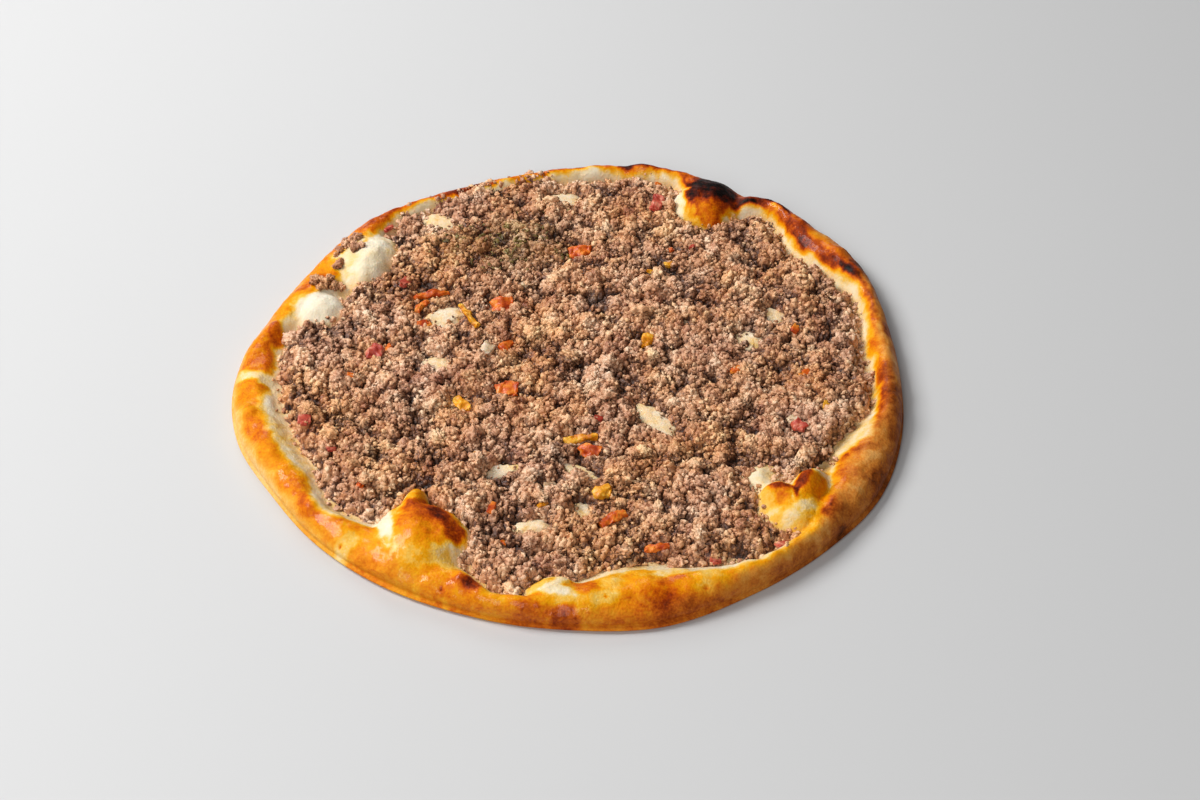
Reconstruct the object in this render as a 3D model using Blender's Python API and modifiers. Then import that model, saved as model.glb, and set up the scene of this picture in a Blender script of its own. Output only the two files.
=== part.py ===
"""Open meat pie: a thin round of dough with a raised, blistered rim, spread with cooked mince.

Metres, +Z up. The origin is the centre of the flat underside. +X is to the right of someone
who looks at the pie from the front, and +Y points away from them.
"""

import math
import random

import bmesh
import bpy
from mathutils import Euler, Matrix, Vector, noise

# The dough: its outer edge seen from above, as radii at equal steps of angle from +X.
EDGE_RADII = (0.1411, 0.1430, 0.1485, 0.1482, 0.1478, 0.1460, 0.1415, 0.1368, 0.1375, 0.1400, 0.1365, 0.1370,
              0.1425, 0.1425, 0.1385, 0.1388, 0.1393, 0.1397, 0.1418, 0.1452, 0.1430, 0.1430, 0.1446, 0.1427)
# The mince: the edge of its layer, in the same way.
MINCE_RADII = (0.1258, 0.1256, 0.1310, 0.1285, 0.1262, 0.1350, 0.1180, 0.1345, 0.1350, 0.1315, 0.1320, 0.1310,
               0.1300, 0.1250, 0.1100, 0.1096, 0.1140, 0.1225, 0.1205, 0.1200, 0.1180, 0.1170, 0.1215, 0.1150,
               0.1060, 0.1170, 0.1290, 0.1205, 0.1120, 0.1167, 0.1265, 0.1345, 0.1246, 0.1174, 0.1180, 0.1255)
# How high the rim stands, as a share of its usual height, at steps of 15 degrees from +X.
RIM_RISES = (1.10, 1.15, 1.30, 1.35, 1.30, 1.20, 1.15, 1.10, 1.05, 0.95, 0.88, 0.85,
             0.85, 0.95, 1.00, 1.00, 1.00, 1.00, 1.05, 1.10, 1.10, 1.10, 1.10, 1.10)

FLOOR_TOP = 0.0040
NOMINAL_EDGE = 0.1410
NOMINAL_FOOT = 0.1190
RIM_LEAST_WIDTH = 0.0110
FOOT_CLEAR_OF_MINCE = 0.0015
TURN_STEPS = 128
# Half of the dough's section, from the middle of its top out to the lip and back under it: radius, height.
SECTION = ((0.0000, FLOOR_TOP), (0.0820, FLOOR_TOP), (0.0900, FLOOR_TOP), (0.0970, FLOOR_TOP), (0.1040, FLOOR_TOP),
           (0.1110, FLOOR_TOP), (NOMINAL_FOOT, 0.0042), (0.1216, 0.0058), (0.1250, 0.0088), (0.1290, 0.0106),
           (0.1330, 0.0106), (0.1366, 0.0090), (0.1390, 0.0066), (0.1399, 0.0044), (0.1397, 0.0026),
           (NOMINAL_EDGE, 0.0014), (0.1395, 0.0000), (0.0000, 0.0000))
LIP_INDEX = 14
RIM_UNEVENNESS = 0.0008
RIM_NOISE_SCALE = 45.0

# Swellings of the dough, as domes: name, middle, reach towards the pie's middle, away from it and
# sideways, the inward way in degrees, top, and roundness.
BLISTERS = (
    ("front_left_crown", -0.0560, -0.0960, 0.0150, 0.0300, 0.0210, 62, 0.0178, 0.75),
    ("front_left_tip", -0.0610, -0.0840, 0.0120, 0.0120, 0.0065, 80, 0.0158, 0.80),
    ("front_right_body", 0.0880, -0.0810, 0.0170, 0.0200, 0.0170, 135, 0.0122, 0.75),
    ("front_right_inner_lobe", 0.0840, -0.0770, 0.0085, 0.0100, 0.0080, 120, 0.0155, 0.85),
    ("front_right_outer_lobe", 0.0970, -0.0720, 0.0140, 0.0120, 0.0070, 62, 0.0172, 0.85),
    ("front_right_pale_skirt", 0.0765, -0.0615, 0.0070, 0.0100, 0.0085, 135, 0.0106, 0.80),
    ("back_right_crown", 0.0610, 0.1130, 0.0180, 0.0200, 0.0165, 242, 0.0168, 0.70),
    ("back_left_pale_crown", -0.0890, 0.0730, 0.0110, 0.0180, 0.0200, -22, 0.0142, 0.75),
    ("left_pale_crown", -0.1090, 0.0400, 0.0120, 0.0160, 0.0120, -20, 0.0122, 0.80),
    ("front_pale_bubble", -0.0050, -0.1270, 0.0090, 0.0120, 0.0130, 90, 0.0122, 0.90),
)
# How wide the soft valley round a blister is.
BLISTER_FILLET = 0.0032
# Creases that cross the rim: angle in degrees, half width in degrees, share of the height that is lost.
CREASES = ((183.5, 3.0, 0.30), (56.5, 2.2, 0.40), (236.0, 3.0, 0.16), (120.0, 7.0, 0.18))

# Bubbles of the dough's floor that show through the mince: place, radii, turn in degrees, top.
FLOOR_BUBBLES = (
    (-0.0550, 0.0360, 0.0090, 0.0070, 20, 0.0080),
    (-0.0570, 0.0050, 0.0075, 0.0055, -25, 0.0074),
    (-0.0270, -0.0600, 0.0090, 0.0042, 20, 0.0076),
    (0.0050, -0.0610, 0.0095, 0.0042, -25, 0.0076),
    (0.0360, -0.0300, 0.0130, 0.0055, -52, 0.0078),
    (0.0770, 0.0210, 0.0060, 0.0068, 0, 0.0076),
    (0.0890, 0.0370, 0.0046, 0.0074, 12, 0.0072),
    (-0.0140, -0.0920, 0.0082, 0.0048, 0, 0.0078),
    (0.0055, -0.0830, 0.0046, 0.0058, 0, 0.0072),
    (-0.0030, 0.1190, 0.0090, 0.0060, -8, 0.0080),
    (-0.0600, 0.1030, 0.0088, 0.0062, -20, 0.0076),
)
BUBBLE_SIDES = 7
BUBBLE_RINGS = 6
BUBBLE_ROOT = 0.25
BUBBLE_SINK = 0.0002
POST_SIDES = 12
POST_HEIGHT = 0.0300
POST_MIDDLE = 0.0100
FROM_BUBBLES = 0.0008

# The mince: a crumbly layer on the dough. Its thickness in the middle and at its sheer edge.
MINCE_BODY = 0.0048
MINCE_EDGE = 0.0018
MINCE_LEAST = 0.0010
MINCE_EDGE_WIDTH = 0.0050
MINCE_EDGE_SPILL = 0.0015
# How much thinner it is on the rim's slope, and how far up the slope that is fully so.
SLOPE_THINNING = 0.50
SLOPE_RISE = (0.0005, 0.0050)
# How far it keeps off the blisters, by their height above the floor.
BLISTER_CLEARANCE = (0.0005, 0.0040)
MINCE_GRID = 0.0064
MINCE_GRID_JITTER = 0.0010
SLAB_HALF = 0.1440
CLUMP_HEIGHT = 0.0030
CLUMP_SCALE = 78.0
CRUMB_HEIGHT = 0.0018
CRUMB_SCALE = 230.0
CRUMB_SHIFT = Vector((7.0, 3.0, 1.0))
OUTLINE_STEPS = 96
OUTLINE_HEIGHT = 0.0250
# Crumbs that stand proud of the layer.
CRUMB_FIELD = 0.3000
CRUMB_SPACING = 0.0270
CRUMB_SCATTER = 0.30
CRUMB_RADII = (0.0024, 0.0038)
CRUMB_LUMPINESS = (0.82, 1.14)
CRUMB_SQUASH = (1.15, 1.00, 0.78)
CRUMB_PROUD = 0.15
CRUMB_INSIDE_EDGE = 0.0010
CRUMB_FROM_BUBBLES = 1.3
CRUMB_FROM_BLISTERS = 0.0010
FROM_BREAD = 0.00035
FROM_BITS = 0.00035
UNDERSIDE_ABOVE_SEAT = 0.00005
RAY_START = 0.0500

# Bits of pepper, tomato and onion on the mince: name, colour, place, length, width, thickness, turn, tilt, curl.
BITS = (
    ("pepper_square", "pepper", -0.0260, -0.0140, 0.0092, 0.0084, 0.0018, 10, 14, 0.10),
    ("pepper_yellow_flake", "yellow_pepper", -0.0450, -0.0220, 0.0096, 0.0052, 0.0018, -52, 12, 0.15),
    ("pepper_small_orange", "pepper", -0.0270, 0.0140, 0.0070, 0.0046, 0.0018, 42, 14, 0.10),
    ("onion_dice", "onion", -0.0350, 0.0110, 0.0075, 0.0056, 0.0030, 75, 8, 0.05),
    ("tomato_left", "tomato", -0.0830, 0.0080, 0.0080, 0.0062, 0.0022, 62, 12, 0.10),
    ("pepper_strip_long", "pepper", -0.0610, 0.0490, 0.0160, 0.0026, 0.0020, 12, 6, 0.22),
    ("pepper_strip_short", "pepper", -0.0650, 0.0415, 0.0090, 0.0030, 0.0020, 60, 8, 0.10),
    ("pepper_strip_upright", "yellow_pepper", -0.0445, 0.0330, 0.0180, 0.0026, 0.0020, -64, 8, 0.18),
    ("pepper_brown_flake", "pepper", -0.0300, 0.0420, 0.0100, 0.0076, 0.0018, 12, 22, 0.16),
    ("pepper_back_flake", "pepper", 0.0040, 0.0800, 0.0100, 0.0062, 0.0020, 5, 16, 0.14),
    ("pepper_yellow_dice", "yellow_pepper", 0.0330, 0.0160, 0.0074, 0.0054, 0.0024, 82, 8, 0.05),
    ("pepper_front_strip", "yellow_pepper", 0.0050, -0.0430, 0.0140, 0.0040, 0.0018, 8, 10, 0.14),
    ("pepper_front_flake", "pepper", 0.0085, -0.0500, 0.0088, 0.0060, 0.0018, -12, 24, 0.14),
    ("pepper_golden_dice", "yellow_pepper", 0.0140, -0.0760, 0.0074, 0.0062, 0.0022, 20, 12, 0.08),
    ("pepper_red_strip", "pepper", 0.0180, -0.0900, 0.0118, 0.0044, 0.0020, 34, 14, 0.14),
    ("pepper_rim_strip", "pepper", 0.0350, -0.1060, 0.0096, 0.0036, 0.0020, 8, 8, 0.10),
    ("tomato_right", "tomato", 0.0950, -0.0370, 0.0070, 0.0052, 0.0022, -55, 12, 0.08),
    ("tomato_back", "tomato", 0.0390, 0.1110, 0.0100, 0.0058, 0.0022, 74, 14, 0.10),
)
BIT_BEVEL = 0.28
BIT_SEGMENTS = 2
BIT_RISE = 0.30
BIT_NARROWING = 0.18
BIT_SIDE_TILT = -0.40
BIT_CRUMB_CLEARANCE = 0.0040

# Crumbs of mince that lie apart from the layer, on the pale blisters: name, place, spread, crumbs.
STRAY_CLUSTERS = (
    ("stray_mince_back", -0.1010, 0.0800, 0.0040, 0.0062, 4),
    ("stray_mince_left", -0.1085, 0.0550, 0.0058, 0.0030, 4),
)
STRAY_CORE_RADIUS = 0.0036
STRAY_CORE_PROUD = 0.0010
STRAY_CRUMB_PROUD = 0.30

COLOURS = {
    "bread": ((0.72, 0.38, 0.10, 1.0), 0.38),
    "mince": ((0.33, 0.19, 0.14, 1.0), 0.70),
    "pepper": ((0.66, 0.17, 0.03, 1.0), 0.40),
    "yellow_pepper": ((0.80, 0.40, 0.04, 1.0), 0.40),
    "tomato": ((0.50, 0.06, 0.05, 1.0), 0.40),
    "onion": ((0.72, 0.58, 0.44, 1.0), 0.40),
}
MERGE_DISTANCE = 0.00001
SEED = 11


def clear_scene():
    for old in list(bpy.data.objects):
        bpy.data.objects.remove(old, do_unlink=True)


def new_collection(name):
    made = bpy.data.collections.new(name)
    bpy.context.scene.collection.children.link(made)
    return made


def new_object(name, mesh, collection):
    made = bpy.data.objects.new(name, mesh)
    collection.objects.link(made)
    return made


def mesh_from(name, bm):
    bmesh.ops.recalc_face_normals(bm, faces=bm.faces)
    mesh = bpy.data.meshes.new(name)
    bm.to_mesh(mesh)
    bm.free()
    return mesh


def material(name):
    found = bpy.data.materials.get(name)
    if found:
        return found
    colour, roughness = COLOURS[name]
    made = bpy.data.materials.new(name)
    made.use_nodes = True
    shader = made.node_tree.nodes["Principled BSDF"]
    shader.inputs["Base Color"].default_value = colour
    shader.inputs["Roughness"].default_value = roughness
    shader.inputs["Metallic"].default_value = 0.0
    made.diffuse_color = colour
    return made


def apply_modifiers(obj):
    """Makes the object's evaluated shape its own mesh."""
    graph = bpy.context.evaluated_depsgraph_get()
    shaped = bpy.data.meshes.new_from_object(obj.evaluated_get(graph))
    obj.modifiers.clear()
    obj.data = shaped


def boolean(obj, operation, *, other=None, collection=None):
    """Applies one Boolean with an object or a collection, and removes what it used."""
    cut = obj.modifiers.new(operation.lower(), "BOOLEAN")
    cut.operation = operation
    cut.solver = "EXACT"
    if collection:
        cut.operand_type = "COLLECTION"
        cut.collection = collection
    else:
        cut.object = other
    apply_modifiers(obj)
    used = list(collection.objects) if collection else [other]
    for piece in used:
        bpy.data.objects.remove(piece, do_unlink=True)


def drop_scraps(obj):
    """Keeps the largest body of a mesh, and drops what a cut left loose beside it."""
    bm = bmesh.new()
    bm.from_mesh(obj.data)
    left = set(bm.verts)
    bodies = []
    while left:
        body, reached = set(), [left.pop()]
        while reached:
            vertex = reached.pop()
            body.add(vertex)
            near = {edge.other_vert(vertex) for edge in vertex.link_edges} & left
            left -= near
            reached.extend(near)
        bodies.append(body)
    largest = max(bodies, key=len)
    bmesh.ops.delete(bm, geom=[vertex for vertex in bm.verts if vertex not in largest], context="VERTS")
    bm.to_mesh(obj.data)
    bm.free()


def height_over(obj, x, y):
    """The height of an object's surface above a place, seen from above."""
    hit, place, _, _ = obj.ray_cast(Vector((x, y, RAY_START)), Vector((0.0, 0.0, -1.0)))
    return place.z if hit else 0.0


def smoothstep(low, high, value):
    share = min(max((value - low) / (high - low), 0.0), 1.0)
    return share * share * (3.0 - 2.0 * share)


def round_curve(values, angle):
    """A smooth closed curve through values at equal steps of angle."""
    place = (angle % math.tau) / math.tau * len(values)
    index = int(place)
    t = place - index
    before, start, end, after = (values[(index + step) % len(values)] for step in (-1, 0, 1, 2))
    return 0.5 * (2 * start + (end - before) * t + (2 * before - 5 * start + 4 * end - after) * t ** 2
                  + (3 * start - before - 3 * end + after) * t ** 3)


def edge_radius(angle):
    return round_curve(EDGE_RADII, angle)


def foot_radius(angle):
    """Where the rim starts to rise, just outside the mince."""
    return min(round_curve(MINCE_RADII, angle) + FOOT_CLEAR_OF_MINCE, edge_radius(angle) - RIM_LEAST_WIDTH)


def inside_outline(x, y):
    """How far a place is inside the edge of the mince."""
    return round_curve(MINCE_RADII, math.atan2(y, x)) - math.hypot(x, y)


def ellipse_distance(x, y, centre_x, centre_y, radius_x, radius_y, turn):
    """Zero at an ellipse's middle and one on its edge."""
    c, s = math.cos(math.radians(turn)), math.sin(math.radians(turn))
    dx, dy = x - centre_x, y - centre_y
    return math.hypot((dx * c + dy * s) / radius_x, (dy * c - dx * s) / radius_y)


def rim_factor(angle):
    """How high the rim stands at an angle, as a share of its usual height."""
    kept = round_curve(RIM_RISES, angle)
    for at, width, loss in CREASES:
        away = (math.degrees(angle) - at + 180.0) % 360.0 - 180.0
        kept *= 1.0 - loss * math.exp(-((away / width) ** 2))
    return kept


def blister_dome(x, y, centre_x, centre_y, inward, outward, sideways, turn, top, roundness):
    """The height of one blister's dome, which falls below the floor outside it."""
    c, s = math.cos(math.radians(turn)), math.sin(math.radians(turn))
    along = (x - centre_x) * c + (y - centre_y) * s
    across = (y - centre_y) * c - (x - centre_x) * s
    d = math.hypot(along / (inward if along > 0.0 else outward), across / sideways)
    share = (1.0 - d * d) ** roundness if d < 1.0 else 2.0 * (1.0 - d)
    return FLOOR_TOP + (top - FLOOR_TOP) * share


def with_blisters(x, y, height):
    """The dough's height with the blisters risen out of it, with a soft valley round each."""
    for _, *blister in BLISTERS:
        above = blister_dome(x, y, *blister) - height
        share = min(max(0.5 + 0.5 * above / BLISTER_FILLET, 0.0), 1.0)
        height += above * share + BLISTER_FILLET * share * (1.0 - share)
    return height


def blister_height(x, y):
    """How far the tallest blister stands above the floor."""
    return max(blister_dome(x, y, *blister) for _, *blister in BLISTERS) - FLOOR_TOP


def nominal_radius(x, y):
    """Where on the section a place of the pulled dough lies."""
    angle, radius = math.atan2(y, x), math.hypot(x, y)
    edge, foot = edge_radius(angle), foot_radius(angle)
    if radius <= foot:
        return radius * NOMINAL_FOOT / foot
    return NOMINAL_FOOT + (radius - foot) * (NOMINAL_EDGE - NOMINAL_FOOT) / (edge - foot)


def dough_base(x, y):
    """The height of the dough's upper side, without its blisters and bubbles."""
    nominal = min(nominal_radius(x, y), SECTION[LIP_INDEX - 1][0])
    upper = SECTION[:LIP_INDEX]
    for (inner, low), (outer, high) in zip(upper, upper[1:]):
        if nominal <= outer:
            height = low + (high - low) * (nominal - inner) / (outer - inner)
            return FLOOR_TOP + (height - FLOOR_TOP) * rim_factor(math.atan2(y, x))
    return FLOOR_TOP


def section_object(collection):
    """Half of the dough's section, turned about the middle."""
    mesh = bpy.data.meshes.new("section")
    points = [(radius, 0.0, height) for radius, height in SECTION]
    mesh.from_pydata(points, [(i, i + 1) for i in range(len(points) - 1)], [])
    obj = new_object("bread", mesh, collection)
    turn = obj.modifiers.new("turn", "SCREW")
    turn.axis = "Z"
    turn.angle = math.tau
    turn.steps = TURN_STEPS
    turn.render_steps = TURN_STEPS
    turn.use_merge_vertices = True
    turn.merge_threshold = MERGE_DISTANCE
    return obj


def pull_by_hand(point):
    """Moves a point of the turned round to where uneven hands and the oven left it."""
    x, y, z = point
    radius, angle = math.hypot(x, y), math.atan2(y, x)
    edge, foot = edge_radius(angle), foot_radius(angle)
    if radius <= NOMINAL_FOOT:
        radius *= foot / NOMINAL_FOOT
    else:
        radius = foot + (radius - NOMINAL_FOOT) * (edge - foot) / (NOMINAL_EDGE - NOMINAL_FOOT)
    x, y = radius * math.cos(angle), radius * math.sin(angle)
    height = z
    if z > FLOOR_TOP:
        height = FLOOR_TOP + (z - FLOOR_TOP) * rim_factor(angle)
        on_rim = smoothstep(FLOOR_TOP, 2.0 * FLOOR_TOP, z)
        height += on_rim * RIM_UNEVENNESS * noise.noise(Vector((x, y, 0.0)) * RIM_NOISE_SCALE)
    if z >= FLOOR_TOP:
        height = with_blisters(x, y, height)
    return Vector((x, y, height))


def dome(name, x, y, radius_x, radius_y, turn, top, collection):
    """A bubble of the dough's floor, as the upper part of a squashed sphere."""
    bm = bmesh.new()
    bmesh.ops.create_uvsphere(bm, u_segments=BUBBLE_SIDES, v_segments=BUBBLE_RINGS, radius=1.0)
    for vertex in bm.verts:
        vertex.co.z = max(vertex.co.z, vertex.co.z * BUBBLE_ROOT)
    squash = Matrix.Diagonal((radius_x, radius_y, top - FLOOR_TOP, 1.0))
    place = Matrix.Translation((x, y, FLOOR_TOP - BUBBLE_SINK)) @ Matrix.Rotation(math.radians(turn), 4, "Z")
    bmesh.ops.transform(bm, matrix=place @ squash, verts=bm.verts)
    return new_object(name, mesh_from(name, bm), collection)


def make_bread(parts):
    """The dough in one piece, and the larger copy of it that the mince is cut with."""
    bread = section_object(parts)
    apply_modifiers(bread)
    bm = bmesh.new()
    bm.from_mesh(bread.data)
    for vertex in bm.verts:
        vertex.co = pull_by_hand(vertex.co)
    bmesh.ops.triangulate(bm, faces=bm.faces)
    bm.to_mesh(bread.data)
    bm.free()
    seat = swollen_copy(bread, FROM_BREAD, "bread_seat", parts)
    bubbles = new_collection("bubbles")
    for number, (x, y, radius_x, radius_y, turn, top) in enumerate(FLOOR_BUBBLES):
        dome(f"bubble_{number}", x, y, radius_x, radius_y, turn, top, bubbles)
    boolean(bread, "UNION", collection=bubbles)
    bpy.data.collections.remove(bubbles)
    bread.data.materials.clear()
    bread.data.materials.append(material("bread"))
    return bread, seat


def swollen_copy(obj, distance, name, collection):
    """A copy of a solid that is larger by the same distance all over, to cut a clear seat with."""
    copy = new_object(name, obj.data.copy(), collection)
    copy.matrix_world = obj.matrix_world
    swell = copy.modifiers.new("swell", "DISPLACE")
    swell.strength = distance
    swell.mid_level = 0.0
    apply_modifiers(copy)
    return copy


def bubble_nearness(x, y):
    """The least distance from a floor bubble, in shares of its radius."""
    return min(ellipse_distance(x, y, *bubble[:5]) for bubble in FLOOR_BUBBLES)


def mince_height(x, y):
    """The crumbly top of the mince: lower at its edge and round bubbles, and thin on the rim's slope."""
    here = Vector((x, y, 0.0))
    spread = smoothstep(-MINCE_EDGE_SPILL, MINCE_EDGE_WIDTH, inside_outline(x, y))
    spread *= 0.45 + 0.55 * smoothstep(0.75, 1.5, bubble_nearness(x, y))
    spread *= 1.0 - smoothstep(*BLISTER_CLEARANCE, blister_height(x, y))
    clumps = CLUMP_HEIGHT * noise.noise(here * CLUMP_SCALE)
    crumbs = CRUMB_HEIGHT * noise.noise(here * CRUMB_SCALE + CRUMB_SHIFT)
    ground = dough_base(x, y)
    thickness = MINCE_EDGE + (MINCE_BODY - MINCE_EDGE) * spread + (clumps + crumbs) * (0.4 + 0.6 * spread)
    thickness *= 1.0 - SLOPE_THINNING * smoothstep(*SLOPE_RISE, ground - FLOOR_TOP)
    return ground + max(thickness, MINCE_LEAST)


def relief_slab(collection, draw):
    """A slab over the whole pie with the mince's relief on its top."""
    steps = round(2 * SLAB_HALF / MINCE_GRID)
    bm = bmesh.new()
    bmesh.ops.create_grid(bm, x_segments=steps, y_segments=steps, size=SLAB_HALF)
    for vertex in bm.verts:
        vertex.co.x += draw.uniform(-MINCE_GRID_JITTER, MINCE_GRID_JITTER)
        vertex.co.y += draw.uniform(-MINCE_GRID_JITTER, MINCE_GRID_JITTER)
        vertex.co.z = mince_height(vertex.co.x, vertex.co.y)
    rim = [edge for edge in bm.edges if edge.is_boundary]
    walls = bmesh.ops.extrude_edge_only(bm, edges=rim)["geom"]
    lower = [part for part in walls if isinstance(part, bmesh.types.BMVert)]
    for vertex in lower:
        vertex.co.z = FLOOR_TOP + FROM_BREAD + UNDERSIDE_ABOVE_SEAT
    bmesh.ops.holes_fill(bm, edges=[edge for edge in bm.edges if edge.is_boundary], sides=0)
    bmesh.ops.triangulate(bm, faces=bm.faces)
    return new_object("minced_meat", mesh_from("minced_meat", bm), collection)


def outline_prism(collection):
    """An upright block with the mince's outline, seen from above."""
    curve = bpy.data.curves.new("outline", "CURVE")
    curve.dimensions = "2D"
    curve.fill_mode = "BOTH"
    curve.extrude = OUTLINE_HEIGHT
    spline = curve.splines.new("POLY")
    spline.points.add(OUTLINE_STEPS - 1)
    spline.use_cyclic_u = True
    for index, point in enumerate(spline.points):
        angle = index * math.tau / OUTLINE_STEPS
        radius = round_curve(MINCE_RADII, angle)
        point.co = (radius * math.cos(angle), radius * math.sin(angle), 0.0, 1.0)
    guide = new_object("outline_guide", curve, collection)
    bpy.context.view_layer.update()
    graph = bpy.context.evaluated_depsgraph_get()
    mesh = bpy.data.meshes.new_from_object(guide.evaluated_get(graph))
    bpy.data.objects.remove(guide, do_unlink=True)
    bm = bmesh.new()
    bm.from_mesh(mesh)
    bmesh.ops.remove_doubles(bm, verts=bm.verts, dist=MERGE_DISTANCE)
    return new_object("outline_block", mesh_from("outline_block", bm), collection)


def hole_cutters(collection):
    """Upright oval posts that open the mince over each bubble of the dough's floor."""
    for number, (x, y, radius_x, radius_y, turn, _) in enumerate(FLOOR_BUBBLES):
        bm = bmesh.new()
        bmesh.ops.create_cone(bm, cap_ends=True, segments=POST_SIDES, radius1=1.0, radius2=1.0, depth=POST_HEIGHT)
        squash = Matrix.Diagonal((radius_x + FROM_BUBBLES, radius_y + FROM_BUBBLES, 1.0, 1.0))
        place = Matrix.Translation((x, y, POST_MIDDLE)) @ Matrix.Rotation(math.radians(turn), 4, "Z")
        bmesh.ops.transform(bm, matrix=place @ squash, verts=bm.verts)
        new_object(f"hole_{number}", mesh_from("hole", bm), collection)


def add_crumb(name, x, y, z, radius, draw, collection):
    """One lumpy crumb of mince."""
    bm = bmesh.new()
    bmesh.ops.create_icosphere(bm, subdivisions=1, radius=radius)
    for vertex in bm.verts:
        vertex.co *= draw.uniform(*CRUMB_LUMPINESS)
    turn = Euler([draw.uniform(0.0, math.tau) for _ in range(3)]).to_matrix().to_4x4()
    squash = Matrix.Diagonal((*CRUMB_SQUASH, 1.0))
    bmesh.ops.transform(bm, matrix=Matrix.Translation((x, y, z)) @ squash @ turn, verts=bm.verts)
    return new_object(name, mesh_from(name, bm), collection)


def near_a_bit(x, y):
    return any(math.hypot(x - bit[2], y - bit[3]) < bit[4] / 2 + BIT_CRUMB_CLEARANCE for bit in BITS)


def holds_a_crumb(x, y):
    """Whether a place is on the mince and clear of the bubbles, the blisters and the bits."""
    return (inside_outline(x, y) > CRUMB_INSIDE_EDGE and bubble_nearness(x, y) > CRUMB_FROM_BUBBLES
            and blister_height(x, y) < CRUMB_FROM_BLISTERS and not near_a_bit(x, y))


def crumb_places(draw):
    """Evenly scattered places for the crumbs, not quite in rows."""
    rows = round(CRUMB_FIELD / CRUMB_SPACING)
    for row in range(rows):
        for column in range(rows):
            across = column + 0.5 * (row % 2) + 0.5 + draw.uniform(-CRUMB_SCATTER, CRUMB_SCATTER)
            up = row + 0.5 + draw.uniform(-CRUMB_SCATTER, CRUMB_SCATTER)
            x = across * CRUMB_SPACING - 0.5 * CRUMB_FIELD
            y = up * CRUMB_SPACING - 0.5 * CRUMB_FIELD
            if holds_a_crumb(x, y):
                yield x, y


def make_mince(parts, seat, draw):
    work = new_collection("mince_work")
    mince = relief_slab(parts, draw)
    boolean(mince, "INTERSECT", other=outline_prism(work))
    crumbs = new_collection("crumbs")
    for number, (x, y) in enumerate(list(crumb_places(draw))):
        radius = draw.uniform(*CRUMB_RADII)
        add_crumb(f"crumb_{number}", x, y, mince_height(x, y) + radius * CRUMB_PROUD, radius, draw, crumbs)
    boolean(mince, "UNION", collection=crumbs)
    bpy.data.collections.remove(crumbs)
    holes = new_collection("holes")
    hole_cutters(holes)
    boolean(mince, "DIFFERENCE", collection=holes)
    bpy.data.collections.remove(holes)
    boolean(mince, "DIFFERENCE", other=seat)
    bpy.data.collections.remove(work)
    drop_scraps(mince)
    mince.data.materials.clear()
    mince.data.materials.append(material("mince"))
    return mince


def make_bit(name, colour, x, y, length, width, thickness, turn, tilt, curl, parts):
    """A cut bit of vegetable: a bevelled slab that curls along its length, half sunk in the mince."""
    bm = bmesh.new()
    bmesh.ops.create_cube(bm, size=1.0)
    bmesh.ops.transform(bm, matrix=Matrix.Diagonal((length, width, thickness, 1.0)), verts=bm.verts)
    long_edges = [edge for edge in bm.edges if abs(edge.verts[0].co.x - edge.verts[1].co.x) > length / 2]
    bmesh.ops.subdivide_edges(bm, edges=long_edges, cuts=BIT_SEGMENTS - 1, use_grid_fill=True)
    corners = [edge for edge in bm.edges if abs(edge.verts[0].co.y - edge.verts[1].co.y) < width / 4
               and abs(edge.verts[0].co.z - edge.verts[1].co.z) < thickness / 4]
    bmesh.ops.bevel(bm, geom=corners, offset=thickness * BIT_BEVEL, segments=1, affect="EDGES")
    for vertex in bm.verts:
        along = 2.0 * vertex.co.x / length
        vertex.co.z -= curl * length * 0.5 * along * along
        vertex.co.y *= 1.0 - BIT_NARROWING * along * along
    turned = Euler([math.radians(part) for part in (tilt, tilt * BIT_SIDE_TILT, turn)]).to_matrix().to_4x4()
    rest = mince_height(x, y) + thickness * BIT_RISE
    bmesh.ops.transform(bm, matrix=Matrix.Translation((x, y, rest)) @ turned, verts=bm.verts)
    bit = new_object(name, mesh_from(name, bm), parts)
    bit.data.materials.append(material(colour))
    return bit


def seat_bits(mince, bits):
    """Opens a seat in the mince round each bit, so that the bit lies in it and stays its own solid."""
    for bit in bits:
        seats = new_collection("seat")
        boolean(mince, "DIFFERENCE", other=swollen_copy(bit, FROM_BITS, "seat", seats))
        bpy.data.collections.remove(seats)
    drop_scraps(mince)


def make_stray_cluster(name, x, y, spread_x, spread_y, count, parts, bread, draw):
    """A few crumbs stuck together, lying on the dough away from the layer."""
    crumbs = new_collection("cluster")
    core = add_crumb(name, x, y, height_over(bread, x, y) + STRAY_CORE_PROUD, STRAY_CORE_RADIUS, draw, parts)
    for number in range(count):
        angle = number * math.tau / count
        crumb_x, crumb_y = x + spread_x * math.cos(angle), y + spread_y * math.sin(angle)
        radius = draw.uniform(*CRUMB_RADII)
        rest = height_over(bread, crumb_x, crumb_y) + radius * STRAY_CRUMB_PROUD
        add_crumb(f"{name}_{number}", crumb_x, crumb_y, rest, radius, draw, crumbs)
    boolean(core, "UNION", collection=crumbs)
    bpy.data.collections.remove(crumbs)
    work = new_collection("cluster_work")
    boolean(core, "DIFFERENCE", other=swollen_copy(bread, FROM_BREAD, "cluster_seat", work))
    bpy.data.collections.remove(work)
    drop_scraps(core)
    core.data.materials.clear()
    core.data.materials.append(material("mince"))
    return core


def main():
    clear_scene()
    draw = random.Random(SEED)
    parts = new_collection("meat_pie")
    bread, seat = make_bread(parts)
    mince = make_mince(parts, seat, draw)
    bits = [make_bit(*bit, parts) for bit in BITS]
    seat_bits(mince, bits)
    for name, x, y, spread_x, spread_y, count in STRAY_CLUSTERS:
        make_stray_cluster(name, x, y, spread_x, spread_y, count, parts, bread, draw)


main()
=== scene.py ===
"""The looks of the open meat pie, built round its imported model.

Metres, in the model's own frame: +X to the right, +Y away from the viewer, +Z up, and the origin
in the middle of the flat underside. The tables that are divided by MM are in millimetres.
"""

import itertools
import math

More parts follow.
